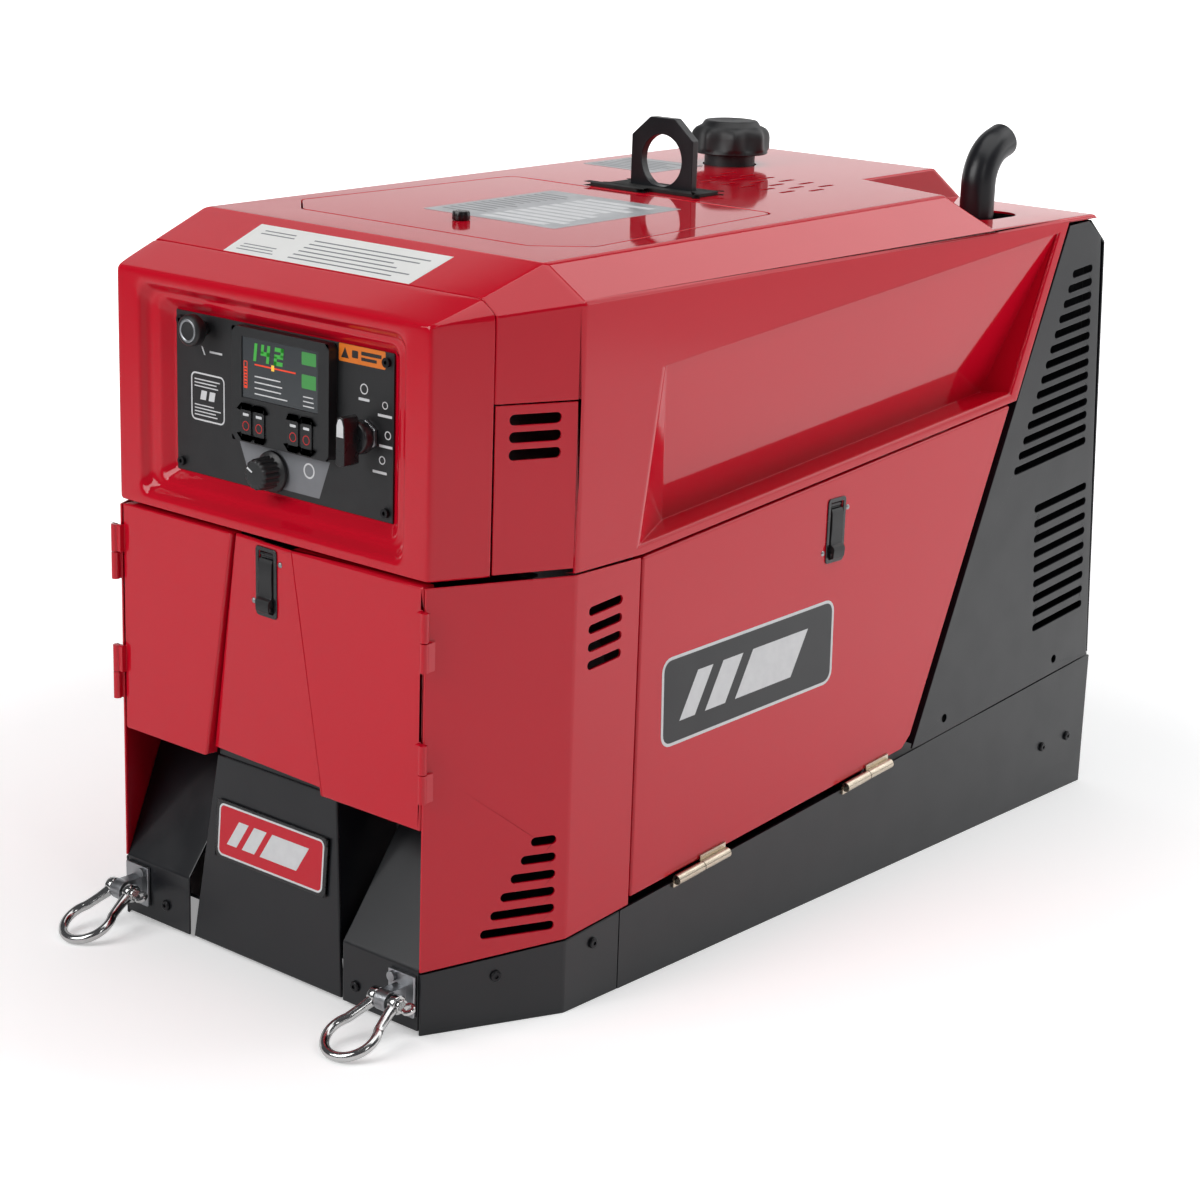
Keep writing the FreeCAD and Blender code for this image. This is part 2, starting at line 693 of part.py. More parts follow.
def rear_side_panel():
    """Black louvred panel at the rear of each side."""
    low = skirt_top(720) + 1.5
    outline = [(rear_edge(low), low), (rear_edge(686), 686.0), (998.0, 688.0), (1028.0, 666.0)]
    outline += [(back_edge(163), 163.0), (length - 4, skirt_top(length) + 1.5), (720.0, low)]
    panel = side_prism(outline, half - sheet, half)
    for row in range(14):
        z = 632.0 - 16.0 * row
        start = rear_edge(z) + 38
        end = back_edge(z) - 24
        panel = panel.cut(louvre(start, end, z, 9.0))
    for row in range(9):
        z = 370.0 - 18.1 * row
        panel = panel.cut(louvre(928.0 + 2.0 * row, back_edge(z) - 18, z, 9.0))
    for depth, z in ((998.0, 172.0), (770.0, 151.0)):
        panel = panel.cut(rod(at(half - 10, depth, z), V(1, 0, 0), 5.0, 20))
    flange_line = [(1028.0 - sheet, 666.0), (1028.0, 666.0)]
    flange_line += [(back_edge(163), 163.0), (back_edge(163) - sheet, 163.0)]
    flange = side_prism(flange_line, half - 22, half)
    jamb_low, jamb_high = 134.0, 684.0
    web = [(rear_edge(jamb_low) + d, jamb_low) for d in (0.5, 3.5)]
    web += [(rear_edge(jamb_high) + d, jamb_high) for d in (3.5, 0.5)]
    stop = [(rear_edge(jamb_low) + d, jamb_low) for d in (-16.0, 3.5)]
    stop += [(rear_edge(jamb_high) + d, jamb_high) for d in (3.5, -16.0)]
    jamb = side_prism(web, half - 19, half - 1).fuse(side_prism(stop, half - 19, half - 16.5))
    return both(fuse(panel, flange, jamb))


def rear_panel():
    """Back plate with a round guarded air outlet and two columns of louvres."""
    foot = (back_edge(163) + 0.3, 164.0)
    outline = [foot, (1034.5, 660.5), (1003.0, 686.0)]
    outline += [(1003.0, 689.2), (1036.9, 661.8), (foot[0] + sheet, foot[1])]
    plate = side_prism(outline, -half + 1, half - 1)
    through = V(0, 1, 0)
    guard_height = shaft_height + 75
    guard = at(0, 1000, guard_height)
    spokes = box(-400, 400, 990, 1200, guard_height - 10, guard_height + 10)
    spokes = spokes.fuse(box(-10, 10, 990, 1200, 0, 700))
    for ring in range(4):
        outer = 44.0 + 27.0 * ring
        plate = plate.cut(tube(guard, through, outer, outer - 16.0, 120).cut(spokes))
    for row in range(5):
        for x in (-105.0, 105.0):
            place = at(x, 1050, 520.0 + 22.0 * row)
            plate = plate.cut(slot_along(place, V(1, 0, 0), through, 150.0, 9.0, 120.0))
    return plate


apron_foot = at(0, 2, 4)
apron_normal = V(0, -209, 14)


def front_apron():
    """Sloping cover in the middle of the front, between the two cable bays."""
    outline = [(-110.0, 4.0), (104.0, 4.0), (81.0, 213.0), (-86.0, 213.0)]
    block = front_prism(outline, -20, 80)
    shape = block.common(slab(apron_foot, apron_normal, sheet))
    for low_x, high_x in ((-110.0, -86.0), (104.0, 81.0)):
        inward = sheet if low_x < 0 else -sheet
        cheek = [(low_x, 4.0), (low_x + inward, 4.0), (high_x + inward, 213.0), (high_x, 213.0)]
        side = front_prism(cheek, 0, 92).common(behind(apron_foot, apron_normal))
        shape = shape.fuse(side)
    shape = shape.cut(box(-half, half, -50, 17.0, 201.0, 230.0).common(front_door_zone()))
    return shape.cut(box(-half, half, 8.0, 200, 0, deck_top + 0.5)).removeSplitter()


def front_door_zone():
    """Room kept clear for the doors and the way they swing."""
    return box(-half, half, -60, 17.5, door_low - 2, door_high + 2)


def cable_guides():
    """Front walls and ramps of the two cable bays, one on each side of the apron."""
    pieces = []
    inside = lower_body(sheet + 0.8)
    edge = front_half - corner_lap - 1.0
    for x0, x1, wall_x0, wall_x1 in ((-half, -114.0, -edge, -114.0), (108.0, half, 108.0, edge)):
        wall = box(wall_x0, wall_x1, 0, sheet, 4, 65)
        profile = [(0.0, 65.0), (0.0, 62.0), (90.0, 180.0), (98.0, 180.0), (98.0, 184.0), (88.0, 184.0)]
        ramp = side_prism(profile, x0, x1).common(inside.fuse(box(wall_x0, wall_x1, 0, 20, 50, 90)))
        pieces.append(fuse(wall, ramp))
    return group(pieces)


def apron_badge():
    """Plain raised plate on the apron."""
    plate = box(-80, 76, -0.8, 1.9, 98, 158)
    upright = [edge for edge in plate.Edges if abs(edge.tangentAt(edge.FirstParameter).y) > 0.99]
    plate = plate.makeFillet(8.0, upright)
    lean_angle = math.degrees(math.atan2(apron_normal.z, -apron_normal.y))
    plate.rotate(apron_foot, V(1, 0, 0), -lean_angle)
    return plate


def body_screws():
    """Screws on the control panel, the skirt, the corners and the bay walls."""
    def screw(point, normal):
        unit = V(normal).normalize()
        head = rod(point + unit * 0.15, unit, 5.5, 3.0)
        ring = [edge for edge in head.Edges if abs(edge.CenterOfMass.sub(point).dot(unit)) > 2.5]
        head = head.makeFillet(1.6, ring)
        return head.cut(rod(point + unit * 1.6, unit, 2.0, 4.0))
    heads = panel_screws()
    for depth, z in ((174.0, 61.0), (987.0, 65.0), (1042.0, 66.0)):
        heads.append(screw(at(half, depth, z), V(1, 0, 0)))
        heads.append(screw(at(-half, depth, z), V(-1, 0, 0)))
    point, normal = on_chamfer(69.0, 50.0), chamfer_normal
    heads.append(screw(point, normal))
    heads.append(screw(*mirrored(point, normal)))
    heads.append(screw(at(-149, 0, 26), V(0, -1, 0)))
    heads.append(screw(at(126, 0, 24), V(0, -1, 0)))
    return group(heads)


def shackle_brackets():
    """Lugs that hold the tie-down shackles, bolted to the front of the base."""
    pieces = []
    for side in (-1, 1):
        x = side * shackle_x
        plate = box(x - 17, x + 17, -4.2, -0.2, 18, 60)
        lug = box(x - 7, x + 7, -shackle_reach, -4, 27, 48)
        nose = rod(at(x - 7, -shackle_reach, shackle_height), V(1, 0, 0), 10.5, 14)
        lug = fuse(plate, lug, nose)
        lug = lug.cut(rod(at(x - 10, -shackle_reach, shackle_height), V(1, 0, 0), shackle_pin_r + 0.3, 20))
        head = rod(at(x - side * 10, -8.4, 53.8), V(0, 1, 0), 5.0, 4.0)
        pieces.append(lug)
        pieces.append(head)
    return group(pieces)


def shackle_bow(x):
    """Bow shackle, drawn pointing forwards and then leaned down until it rests on the floor."""
    pivot = at(x, -shackle_reach, shackle_height)
    bow_r, reach, ear = 26.0, 50.0, 13.5
    centre = pivot - V(0, reach, 0)
    spread = math.radians(38.0)
    ring = Part.makeTorus(bow_r, bow_wire_r, centre, V(0, 0, 1))
    end = V(bow_r * math.cos(spread), bow_r * math.sin(spread), 0)
    wide = end * 3
    gap = prism([centre, centre + wide, centre + V(-wide.x, wide.y, 0)], V(0, 0, 20))
    gap.translate(V(0, 0, -10))
    bow = ring.cut(gap)
    for side in (-1, 1):
        start = centre + V(side * end.x, end.y, 0)
        finish = pivot + V(side * ear, -6.0, 0)
        run = finish - start
        bow = bow.fuse(Part.makeSphere(bow_wire_r, start))
        bow = bow.fuse(rod(start, run, bow_wire_r, run.Length))
        eye = rod(pivot + V(side * ear - 4.6, 0, 0), V(1, 0, 0), 9.5, 9.2)
        bow = bow.fuse(eye)
    bore = rod(pivot - V(40, 0, 0), V(1, 0, 0), shackle_pin_r + 0.05, 80)
    bow = bow.cut(bore).cut(rod(pivot - V(8.4, 0, 0), V(1, 0, 0), 13.0, 16.8))
    return lean_down(bow.removeSplitter(), pivot)


def lean_down(shape, pivot):
    """Turn a shackle piece down about its pin until the bow touches the floor."""
    tip = 50.0 + 26.0
    drop = math.degrees(math.asin((shackle_height - bow_wire_r - 0.2) / tip))
    shape.rotate(pivot, V(1, 0, 0), drop)
    return shape


def shackle_pin(x):
    """Screw pin with a flat eye at its outer end."""
    pivot = at(x, -shackle_reach, shackle_height)
    pin = rod(pivot - V(20, 0, 0), V(1, 0, 0), shackle_pin_r - 0.05, 41)
    collar = rod(pivot + V(18.8, 0, 0), V(1, 0, 0), 6.6, 3.0)
    tab = box(20, 36, -6.5, 6.5, -2.4, 2.4)
    tab.translate(pivot - at(0, 0, 0))
    tab = tab.cut(rod(pivot + V(29, 0, -5), V(0, 0, 1), 3.2, 10))
    return lean_down(fuse(pin, collar, tab), pivot)


def lift_eye():
    """Lifting bail: a plate with a round eye, welded to a yoke on the base deck."""
    top = roof_z(eye_depth) + 77
    outline = [(-42.0, 640.0), (42.0, 640.0), (42.0, top - 21), (17.0, top), (-17.0, top), (-42.0, top - 21)]
    plate = front_prism(outline, eye_depth - 5, eye_depth + 5)
    hole_z = roof_z(eye_depth) + 32.0
    plate = plate.cut(rod(at(0, eye_depth - 9, hole_z), V(0, 1, 0), 27.5, 20))
    bar = box(-205, 205, eye_depth - 5, eye_depth + 5, 600, 641)
    legs = [box(x - 5, x + 5, eye_depth - 20, eye_depth + 20, deck_top, 641) for x in (-200.0, 200.0)]
    return fuse(plate, bar, *legs)


def lift_eye_gasket():
    """Rubber seal around the eye and the small pad in front of it."""
    seal = hollow_box(62.0, 20.0, 42.6, 5.4)
    outline = ((-75, -34), (-8, -34), (-8, -21.5), (-75, -21.5))
    pad = rounded_plate([V(x, y, 0.1) for x, y in outline], 3.0, 3.8)
    pieces = []
    for piece in (seal, pad):
        piece.translate(V(0, eye_depth - 360.0, 0))
        pieces.append(lay_on_roof(piece))
    return group(pieces)


def hollow_box(half_x, half_y, hole_x, hole_y):
    corners = [(-half_x, -half_y), (half_x, -half_y), (half_x, half_y), (-half_x, half_y)]
    plate = rounded_plate([V(x, y, 0.1) for x, y in corners], 6.0, 3.8)
    hole = Part.makeBox(2 * hole_x, 2 * hole_y, 20, V(-hole_x, -hole_y, -5))
    return plate.cut(hole)


def roof_hatch():
    plate = hatch_plate(0.0, -2.2, 0.0)
    rim = hatch_plate(-14.0, -7.0, -2.0).cut(hatch_plate(-16.5, -8.0, -1.0))
    lid = plate.fuse(rim)
    lid = lid.cut(Part.makeCylinder(6.2, 30, roof_point(3, 256, -15)))
    return lay_on_roof(lid.removeSplitter())


def hatch_knob():
    """Quarter-turn fastener in the hatch."""
    head = Part.makeCylinder(9.0, 9.0, roof_point(3, 256, 0.3))
    stem = Part.makeCylinder(6.0, 9.0, roof_point(3, 256, -8.0))
    tongue = Part.makeBox(12, 26, 2.0, roof_point(-3, 246, -11.0))
    return lay_on_roof(fuse(head, stem, Part.makeCylinder(4.0, 4.0, roof_point(3, 256, -11.0)), tongue))


def fuel_cap():
    """Screw cap with eight grip lobes."""
    z = roof_z(cap_depth) + 13.0
    centre = at(cap_x, cap_depth, z)
    cap = rod(centre, V(0, 0, 1), 42.0, 27.0)
    for index in range(8):
        turn = 2 * math.pi * (index + 0.5) / 8
        lobe = centre + V(math.cos(turn), math.sin(turn), 0) * 37.5
        cap = cap.fuse(rod(lobe, V(0, 0, 1), 8.0, 22.0))
    cap = cap.fuse(Part.makeCone(42.0, 33.0, 10.0, centre + V(0, 0, 27), V(0, 0, 1)))
    return cap.cut(rod(centre - V(0, 0, 1), V(0, 0, 1), 30.5, 22.0)).removeSplitter()


def fuel_tank():
    """Moulded tank under the roof, with its filler neck."""
    block = box(-228, 60, 655, 985, 572, 706)
    block = block.makeFillet(16.0, block.Edges)
    inside = box(-224, 56, 659, 981, 576, 702)
    tank = block.cut(inside.makeFillet(12.0, inside.Edges))
    neck = rod(at(cap_x, cap_depth, 703), V(0, 0, 1), 29.0, roof_z(cap_depth) + 32 - 703)
    bore = rod(at(cap_x, cap_depth, 690), V(0, 0, 1), 23.0, 150)
    return tank.fuse(neck).cut(bore).removeSplitter()


def exhaust_pipe():
    """Outlet elbow: it rises through the deck, turns to the rear and ends in a short straight."""
    pipe_r, bore_r, bend_r, straight_end = 19.0, 16.5, 45.0, 12.0
    turn = math.radians(72.0)
    low, knee = 640.0, 730.0
    end = at(exhaust_x, exhaust_depth + bend_r * (1 - math.cos(turn)), knee + bend_r * math.sin(turn))
    outlet = V(0, math.sin(turn), math.cos(turn))
    pieces = []
    for radius in (pipe_r, bore_r):
        straight = rod(at(exhaust_x, exhaust_depth, low), V(0, 0, 1), radius, knee - low)
        circle = Part.makeCircle(radius, at(exhaust_x, exhaust_depth, knee), V(0, 0, 1))
        face = Part.Face(Part.Wire(circle))
        bend = face.revolve(at(exhaust_x, exhaust_depth + bend_r, knee), V(-1, 0, 0), math.degrees(turn))
        pieces.append(straight.fuse(bend).fuse(rod(end, outlet, radius, straight_end)))
    return pieces[0].cut(pieces[1]).removeSplitter()


def muffler():
    """Drum silencer beside the tank, with its outlet stub and inlet pipes."""
    centre = at(155, 640, 560)
    drum = rod(centre, V(0, 1, 0), 62.0, 262)
    rims = [edge for edge in drum.Edges if len(edge.Vertexes) == 1]
    drum = drum.makeFillet(10.0, rims)
    stub = rod(at(exhaust_x, exhaust_depth, 560), V(0, 0, 1), 24.0, 84.0)
    stub = stub.cut(rod(at(exhaust_x, exhaust_depth, 630), V(0, 0, 1), 19.05, 20.0))
    bands = [tube(at(155, depth, 560), V(0, 1, 0), 64.0, 61.0, 14) for depth in (690.0, 820.0)]
    shape = drum.fuse(stub)
    for band in bands:
        shape = shape.fuse(band)
    return shape.cut(rod(at(exhaust_x, exhaust_depth, 639.9), V(0, 0, 1), 19.05, 50.0)).removeSplitter()


def engine_block():
    """Crankcase with its oil pan and mounting feet."""
    case = box(-115, 115, 600, 800, 150, 330)
    case = case.makeFillet(14.0, case.Edges)
    pan_block = box(-95, 95, 615, 785, 95, 152)
    shape = fuse(case, pan_block)
    for side in (-1, 1):
        for depth in (620.0, 740.0):
            foot = box(side * 130 - 45, side * 130 + 45, depth, depth + 40, 92, 104)
            gusset = box(side * 105 - 12, side * 105 + 12, depth, depth + 40, 100, 170)
            shape = shape.fuse(foot).fuse(gusset)
    bore = rod(at(0, 590, shaft_height), V(0, 1, 0), shaft_r + 0.3, 220)
    crank_room = rod(at(0, 615, shaft_height), V(0, 1, 0), 70.0, 170)
    return shape.cut(bore).cut(crank_room)


def cylinders():
    """The two finned cylinders of the V-twin, with their rocker covers."""
    barrel = box(-48, 48, 625, 775, 0, 96)
    shape = barrel
    for index in range(8):
        shape = shape.fuse(box(-60, 60, 618, 782, 8 + 12.0 * index, 12 + 12.0 * index))
    cover = box(-46, 46, 640, 760, 95, 128)
    shape = shape.fuse(cover).removeSplitter()
    bank = shape.copy()
    bank.translate(V(0, 0, 140.0))
    bank.rotate(at(0, 0, 0), V(0, 1, 0), 45.0)
    bank.translate(V(-22, 0, shaft_height + 25))
    case = box(-116, 116, 599, 801, 149, 331)
    bank = bank.cut(case)
    solid = max(bank.Solids, key=lambda piece: piece.Volume)
    return both(solid)


def blower_housing():
    """Round shroud around the flywheel fan, open to the rear."""
    shell = rod(at(0, 806, shaft_height), V(0, 1, 0), 168.0, 84)
    hollow = rod(at(0, 809, shaft_height), V(0, 1, 0), 164.0, 78)
    intake = rod(at(0, 880, shaft_height), V(0, 1, 0), 110.0, 20)
    bore = rod(at(0, 800, shaft_height), V(0, 1, 0), 32.0, 20)
    return shell.cut(hollow).cut(intake).cut(bore)


def crankshaft():
    """Main shaft with its crank and the flywheel fan at the rear."""
    shaft = rod(at(0, 345, shaft_height), V(0, 1, 0), shaft_r, 515)
    web = rod(at(0, 640, shaft_height), V(0, 1, 0), 60.0, 120)
    wheel = rod(at(0, 822, shaft_height), V(0, 1, 0), 120.0, 14)
    shape = fuse(shaft, web, wheel)
    for index in range(14):
        blade = box(60, 150, 834, 866, -2, 2)
        blade.translate(V(0, 0, shaft_height))
        blade.rotate(at(0, 0, shaft_height), V(0, 1, 0), 360.0 * index / 14)
        shape = shape.fuse(blade)
    plate = tube(at(0, 865, shaft_height), V(0, 1, 0), 150.0, 95.0, 3)
    return shape.fuse(plate).removeSplitter()


def stator_housing():
    """Alternator frame: a tube with end bells, bolted to the engine."""
    shape = rod(at(0, 352, shaft_height), V(0, 1, 0), 132.0, 246)
    shape = shape.cut(rod(at(0, 362, shaft_height), V(0, 1, 0), 100.0, 226))
    shape = shape.cut(rod(at(0, 340, shaft_height), V(0, 1, 0), shaft_r + 0.05, 300))
    for index in range(16):
        turn = 360.0 * index / 16
        fin = box(-3, 3, 380, 570, shaft_height + 130, shaft_height + 142)
        fin.rotate(at(0, 0, shaft_height), V(0, 1, 0), turn)
        shape = shape.fuse(fin)
    feet = [box(x - 40, x + 40, 390, 430, 92, 104) for x in (-110.0, 110.0)]
    gussets = [box(x - 10, x + 10, 390, 430, 100, 180) for x in (-95.0, 95.0)]
    shape = fuse(shape, *feet, *gussets)
    return shape.cut(rod(at(0, 362, shaft_height), V(0, 1, 0), 100.0, 226))


def rotor():
    core = rod(at(0, 390, shaft_height), V(0, 1, 0), 96.0, 150)
    for index in range(4):
        notch = box(-16, 16, 389, 541, 78, 100)
        notch.translate(V(0, 0, shaft_height))
        notch.rotate(at(0, 0, shaft_height), V(0, 1, 0), 90.0 * index + 45)
        core = core.cut(notch)
    return core.cut(rod(at(0, 380, shaft_height), V(0, 1, 0), shaft_r, 180))


def isolators():
    """Rubber mounts between the base deck and the engine and alternator feet."""
    places = [(side * 150.0, depth + 20) for side in (-1, 1) for depth in (620.0, 740.0)]
    places += [(side * 130.0, 410.0) for side in (-1, 1)]
    pads = [rod(at(x, depth, deck_top), V(0, 0, 1), 19.0, 92 - deck_top) for x, depth in places]
    return group(pads)


def air_cleaner():
    block = box(-100, 60, 640, 780, 470, 548)
    block = block.makeFillet(12.0, block.Edges)
    neck = rod(at(-20, 700, 440), V(0, 0, 1), 22.0, 34)
    return fuse(block, neck)


def battery():
    case = box(60, 235, 245, 345, deck_top + 0.5, deck_top + 160)
    posts = [rod(at(x, 262, deck_top + 159), V(0, 0, 1), 8.0, 17) for x in (85.0, 210.0)]
    return fuse(case, *posts)


def weld_module():
    """Inverter power module: a closed case with a finned heat sink at its back."""
    case = box(-185, 185, 122, 250, 300, 600)
    sink = box(-170, 170, 249, 300, 320, 580)
    for index in range(16):
        x = -160.0 + 20.5 * index
        sink = sink.cut(box(x, x + 14, 258, 301, 310, 590))
    return fuse(case, sink)


def output_panel():
    """Plate behind the front doors that carries the studs and sockets."""
    plate = box(-249, 249, 99, 102, 186, 434)
    flange = box(-240, 240, 99, 118, 431, 434)
    plate = plate.fuse(flange)
    for x, z in stud_places:
        plate = plate.cut(rod(at(x, 90, z), V(0, 1, 0), 7.5, 20))
    return plate.removeSplitter()


def output_studs():
    """Two weld output studs, each with a flange nut and an insulating collar."""
    studs = []
    for x, z in stud_places:
        bolt = rod(at(x, 64, z), V(0, 1, 0), stud_r, 45)
        collar = tube(at(x, 93, z), V(0, 1, 0), 18.0, stud_r, 5.9)
        body = bolt.fuse(collar).fuse(rod(at(x, 98.5, z), V(0, 1, 0), 7.4, 4))
        studs.append(body.removeSplitter())
    return group(studs)


def receptacles():
    """Duplex sockets, the round generator socket and the breakers beside them."""
    pieces = []
    for x in (60.0, 120.0):
        block = box(x - 18, x + 18, 88, 98.9, 220, 320)
        for z in (245.0, 295.0):
            block = block.cut(rod(at(x, 87, z), V(0, 1, 0), 13.0, 5))
        pieces.append(block)
    body = rod(at(-80, 84, 350), V(0, 1, 0), 34.0, 14.9)
    pieces.append(body.cut(tube(at(-80, 83, 350), V(0, 1, 0), 26.0, 20.0, 8)))
    for index in range(4):
        x = 10.0 + 38.0 * index
        pieces.append(box(x, x + 22, 86, 98.9, 350, 400))
    return group(pieces)


parts = {
    "base_frame": base_frame,
    "skirt_rails": skirt_rails,
    "skirt_front_wraps": skirt_front_wraps,
    "rear_side_panels": rear_side_panel,
    "rear_panel": rear_panel,
    "front_apron": front_apron,
    "cable_guides": cable_guides,
    "apron_badge": apron_badge,
    "body_screws": body_screws,
    "corner_panel_lower_right": lower_corner_right,
    "corner_panel_lower_left": lambda: mirror(lower_corner_right()),
    "corner_panels_upper": corner_panel_upper,
    "hood_shell": hood_shell,
    "front_bezel": front_bezel,
    "control_panel": control_panel,
    "display_housing": display_housing,
    "display_screen": display_screen,
    "encoder_knob": encoder_knob,
    "selector_knob": selector_knob,
    "choke_knob": choke_knob,
    "lift_eye": lift_eye,
    "lift_eye_gasket": lift_eye_gasket,
    "roof_hatch": roof_hatch,
    "hatch_knob": hatch_knob,
    "fuel_cap": fuel_cap,
    "fuel_tank": fuel_tank,
    "exhaust_pipe": exhaust_pipe,
    "muffler": muffler,
    "engine_block": engine_block,
    "engine_cylinders": cylinders,
    "blower_housing": blower_housing,
    "crankshaft": crankshaft,
    "stator_housing": stator_housing,
    "rotor": rotor,
    "isolators": isolators,
    "air_cleaner": air_cleaner,
    "battery": battery,
    "weld_module": weld_module,
    "output_panel": output_panel,
    "output_studs": output_studs,
    "receptacles": receptacles,
    "front_door_left": front_door_left,
    "front_door_right": front_door_right,
    "side_door_right": side_door_right,
    "side_door_left": lambda: mirror(side_door_right()),
    "side_hinge_fixed": side_hinge_fixed,
    "side_hinge_moving_right": side_hinge_moving,
    "side_hinge_moving_left": lambda: mirror(side_hinge_moving()),
    "latch_paddle_front": latch_paddle_front,
    "latch_paddle_right": latch_paddle_side,
    "latch_paddle_left": lambda: mirror(latch_paddle_side()),
    "shackle_brackets": shackle_brackets,
}
for number, place in enumerate(button_places, start=1):
    parts[f"button_{number}"] = lambda place=place: button(place)
for name, x in (("left", -shackle_x), ("right", shackle_x)):
    parts[f"shackle_bow_{name}"] = lambda x=x: shackle_bow(x)
    parts[f"shackle_pin_{name}"] = lambda x=x: shackle_pin(x)

os.makedirs("parts", exist_ok=True)
for name, make in parts.items():
    make().exportStep(f"parts/{name}.step")
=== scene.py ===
import json
import math
import bmesh
import bpy
import numpy as np
from mathutils import Matrix, Vector

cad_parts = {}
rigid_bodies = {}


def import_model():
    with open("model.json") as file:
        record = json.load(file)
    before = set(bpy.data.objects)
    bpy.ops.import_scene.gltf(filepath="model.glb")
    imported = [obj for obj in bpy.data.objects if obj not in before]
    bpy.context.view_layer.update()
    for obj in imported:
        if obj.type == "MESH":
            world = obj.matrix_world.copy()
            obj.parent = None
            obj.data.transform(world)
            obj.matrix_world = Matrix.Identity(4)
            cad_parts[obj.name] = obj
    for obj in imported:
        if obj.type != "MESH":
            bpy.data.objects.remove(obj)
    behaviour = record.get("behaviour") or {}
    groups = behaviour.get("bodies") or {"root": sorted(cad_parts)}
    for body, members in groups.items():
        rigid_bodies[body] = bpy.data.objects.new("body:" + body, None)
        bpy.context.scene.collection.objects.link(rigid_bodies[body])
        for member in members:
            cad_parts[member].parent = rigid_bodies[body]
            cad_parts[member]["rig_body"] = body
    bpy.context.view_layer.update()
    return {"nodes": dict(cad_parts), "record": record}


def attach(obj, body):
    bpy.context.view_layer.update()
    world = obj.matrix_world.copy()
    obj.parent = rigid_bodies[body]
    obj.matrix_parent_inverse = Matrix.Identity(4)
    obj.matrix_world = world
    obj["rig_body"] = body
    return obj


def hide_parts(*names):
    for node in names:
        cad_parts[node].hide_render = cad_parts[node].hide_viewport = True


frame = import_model()
slotOf = {part["node"]: part["material_slot"] for part in frame["record"]["subparts"]}
print("frame loaded:", len(frame["nodes"]), "nodes")

halfLength = 540.0  # mm, from the front plane of the doors to the middle of the base


def at(x, depth, z):
    # a point in metres from its mm: right, back from the front plane, up
    return np.array([x, depth - halfLength, z]) / 1000.0


# ---- camera and light

cameraView = {"place": (1.81487, -2.19102, 1.08783), "azimuth": 40.287, "elevation": 15.956, "roll": 1.951,
              "lens": 80.23}


def makeCamera(view):
    # the back vector comes from azimuth and elevation; right and up are turned about it by the roll
    az, el, roll = (math.radians(view[k]) for k in ("azimuth", "elevation", "roll"))
    back = Vector((math.sin(az) * math.cos(el), -math.cos(az) * math.cos(el), math.sin(el)))
    level = Vector((0, 0, 1)).cross(back).normalized()
    lift = back.cross(level)
    right = level * math.cos(roll) + lift * math.sin(roll)
    up = lift * math.cos(roll) - level * math.sin(roll)
    lens = bpy.data.cameras.new("studioCamera")
    lens.lens = view["lens"]
    lens.sensor_width = 36
    camera = bpy.data.objects.new("studioCamera", lens)
    bpy.context.scene.collection.objects.link(camera)
    turn = Matrix((right, up, back)).transposed().to_4x4()
    camera.matrix_world = Matrix.Translation(view["place"]) @ turn
    bpy.context.scene.camera = camera


studioLights = {  # name: (place, aimed at, width, height, watts)
    "overheadBox": ((0.6, 0.1, 2.7), (0.1, 0.0, 0.4), 1.9, 3.0, 32),
    "frontBox": ((-0.6, -3.2, 2.2), (0, -0.3, 0.4), 1.8, 2.2, 61),
    "sideBox": ((1.95, 2.5, 1.3), (0.2, 0.1, 0.5), 1.7, 1.6, 13),
    "ridgeBox": ((0.95, 2.2, 2.6), (0.3, 0.1, 0.6), 2.2, 1.6, 22),
    "rightStrip": ((2.7, -1.3, 1.75), (0, -0.4, 0.6), 0.3, 1.1, 5),
    "leftStrip": ((-1.5, -2.5, 1.7), (0, -0.5, 0.6), 0.35, 1.0, 8),
}


def makeLights(lights):
    # square-cornered soft boxes, each at its place and turned so that its -Z looks at its target
    for name, (place, target, wide, high, watts) in lights.items():
        lamp = bpy.data.lights.new(name, "AREA")
        lamp.shape = "RECTANGLE"
        lamp.size, lamp.size_y, lamp.energy = wide, high, watts
        holder = bpy.data.objects.new(name, lamp)
        bpy.context.scene.collection.objects.link(holder)
        holder.location = place
        holder.rotation_euler = (Vector(target) - Vector(place)).to_track_quat("-Z", "Y").to_euler()


def addNode(tree, kind, values=None, links=None, **options):
    # one shader node: options are its own properties, values its set inputs, links its fed inputs
    made = tree.nodes.new("ShaderNode" + kind)
    for key, value in options.items():
        setattr(made, key, value)
    for key, value in (values or {}).items():
        made.inputs[key].default_value = value
    for key, output in (links or {}).items():
        tree.links.new(output, made.inputs[key])
    return made


def linear(code):
    # an sRGB hex colour as linear red, green, blue, alpha
    parts = [int(code[k:k + 2], 16) / 255 for k in (1, 3, 5)]
    return [c / 12.92 if c <= 0.04045 else ((c + 0.055) / 1.055) ** 2.4 for c in parts] + [1.0]


roomLevels = {  # how bright the room is, the floor as seen (lower near the object: painted shade) and as it lights the object, and the wall
    "around": 0.09, "floorSeenShaded": 0.3, "floorFar": 1.0, "floorFront": 0.0, "floorBack": 0.6,
    "wallLow": 1.0, "wallHigh": 0.3}


roomSize = {"wide": 14.0, "far": 5.5, "high": 5.0}  # metres: half the wall's length, its distance and its height


def makePaper(name, base):
    # white paper with a glow of its own; its shader and the place it is seen at
    paper = bpy.data.materials.new(name + "Paper")
    paper.use_nodes = True
    tree = paper.node_tree
    shader = tree.nodes["Principled BSDF"]
    shader.inputs["Base Color"].default_value = linear(base)
    shader.inputs["Roughness"].default_value = 0.9
    shader.inputs["Emission Color"].default_value = linear("#FFFFFF")
    return paper, tree, shader, addNode(tree, "TexCoord").outputs["Object"]


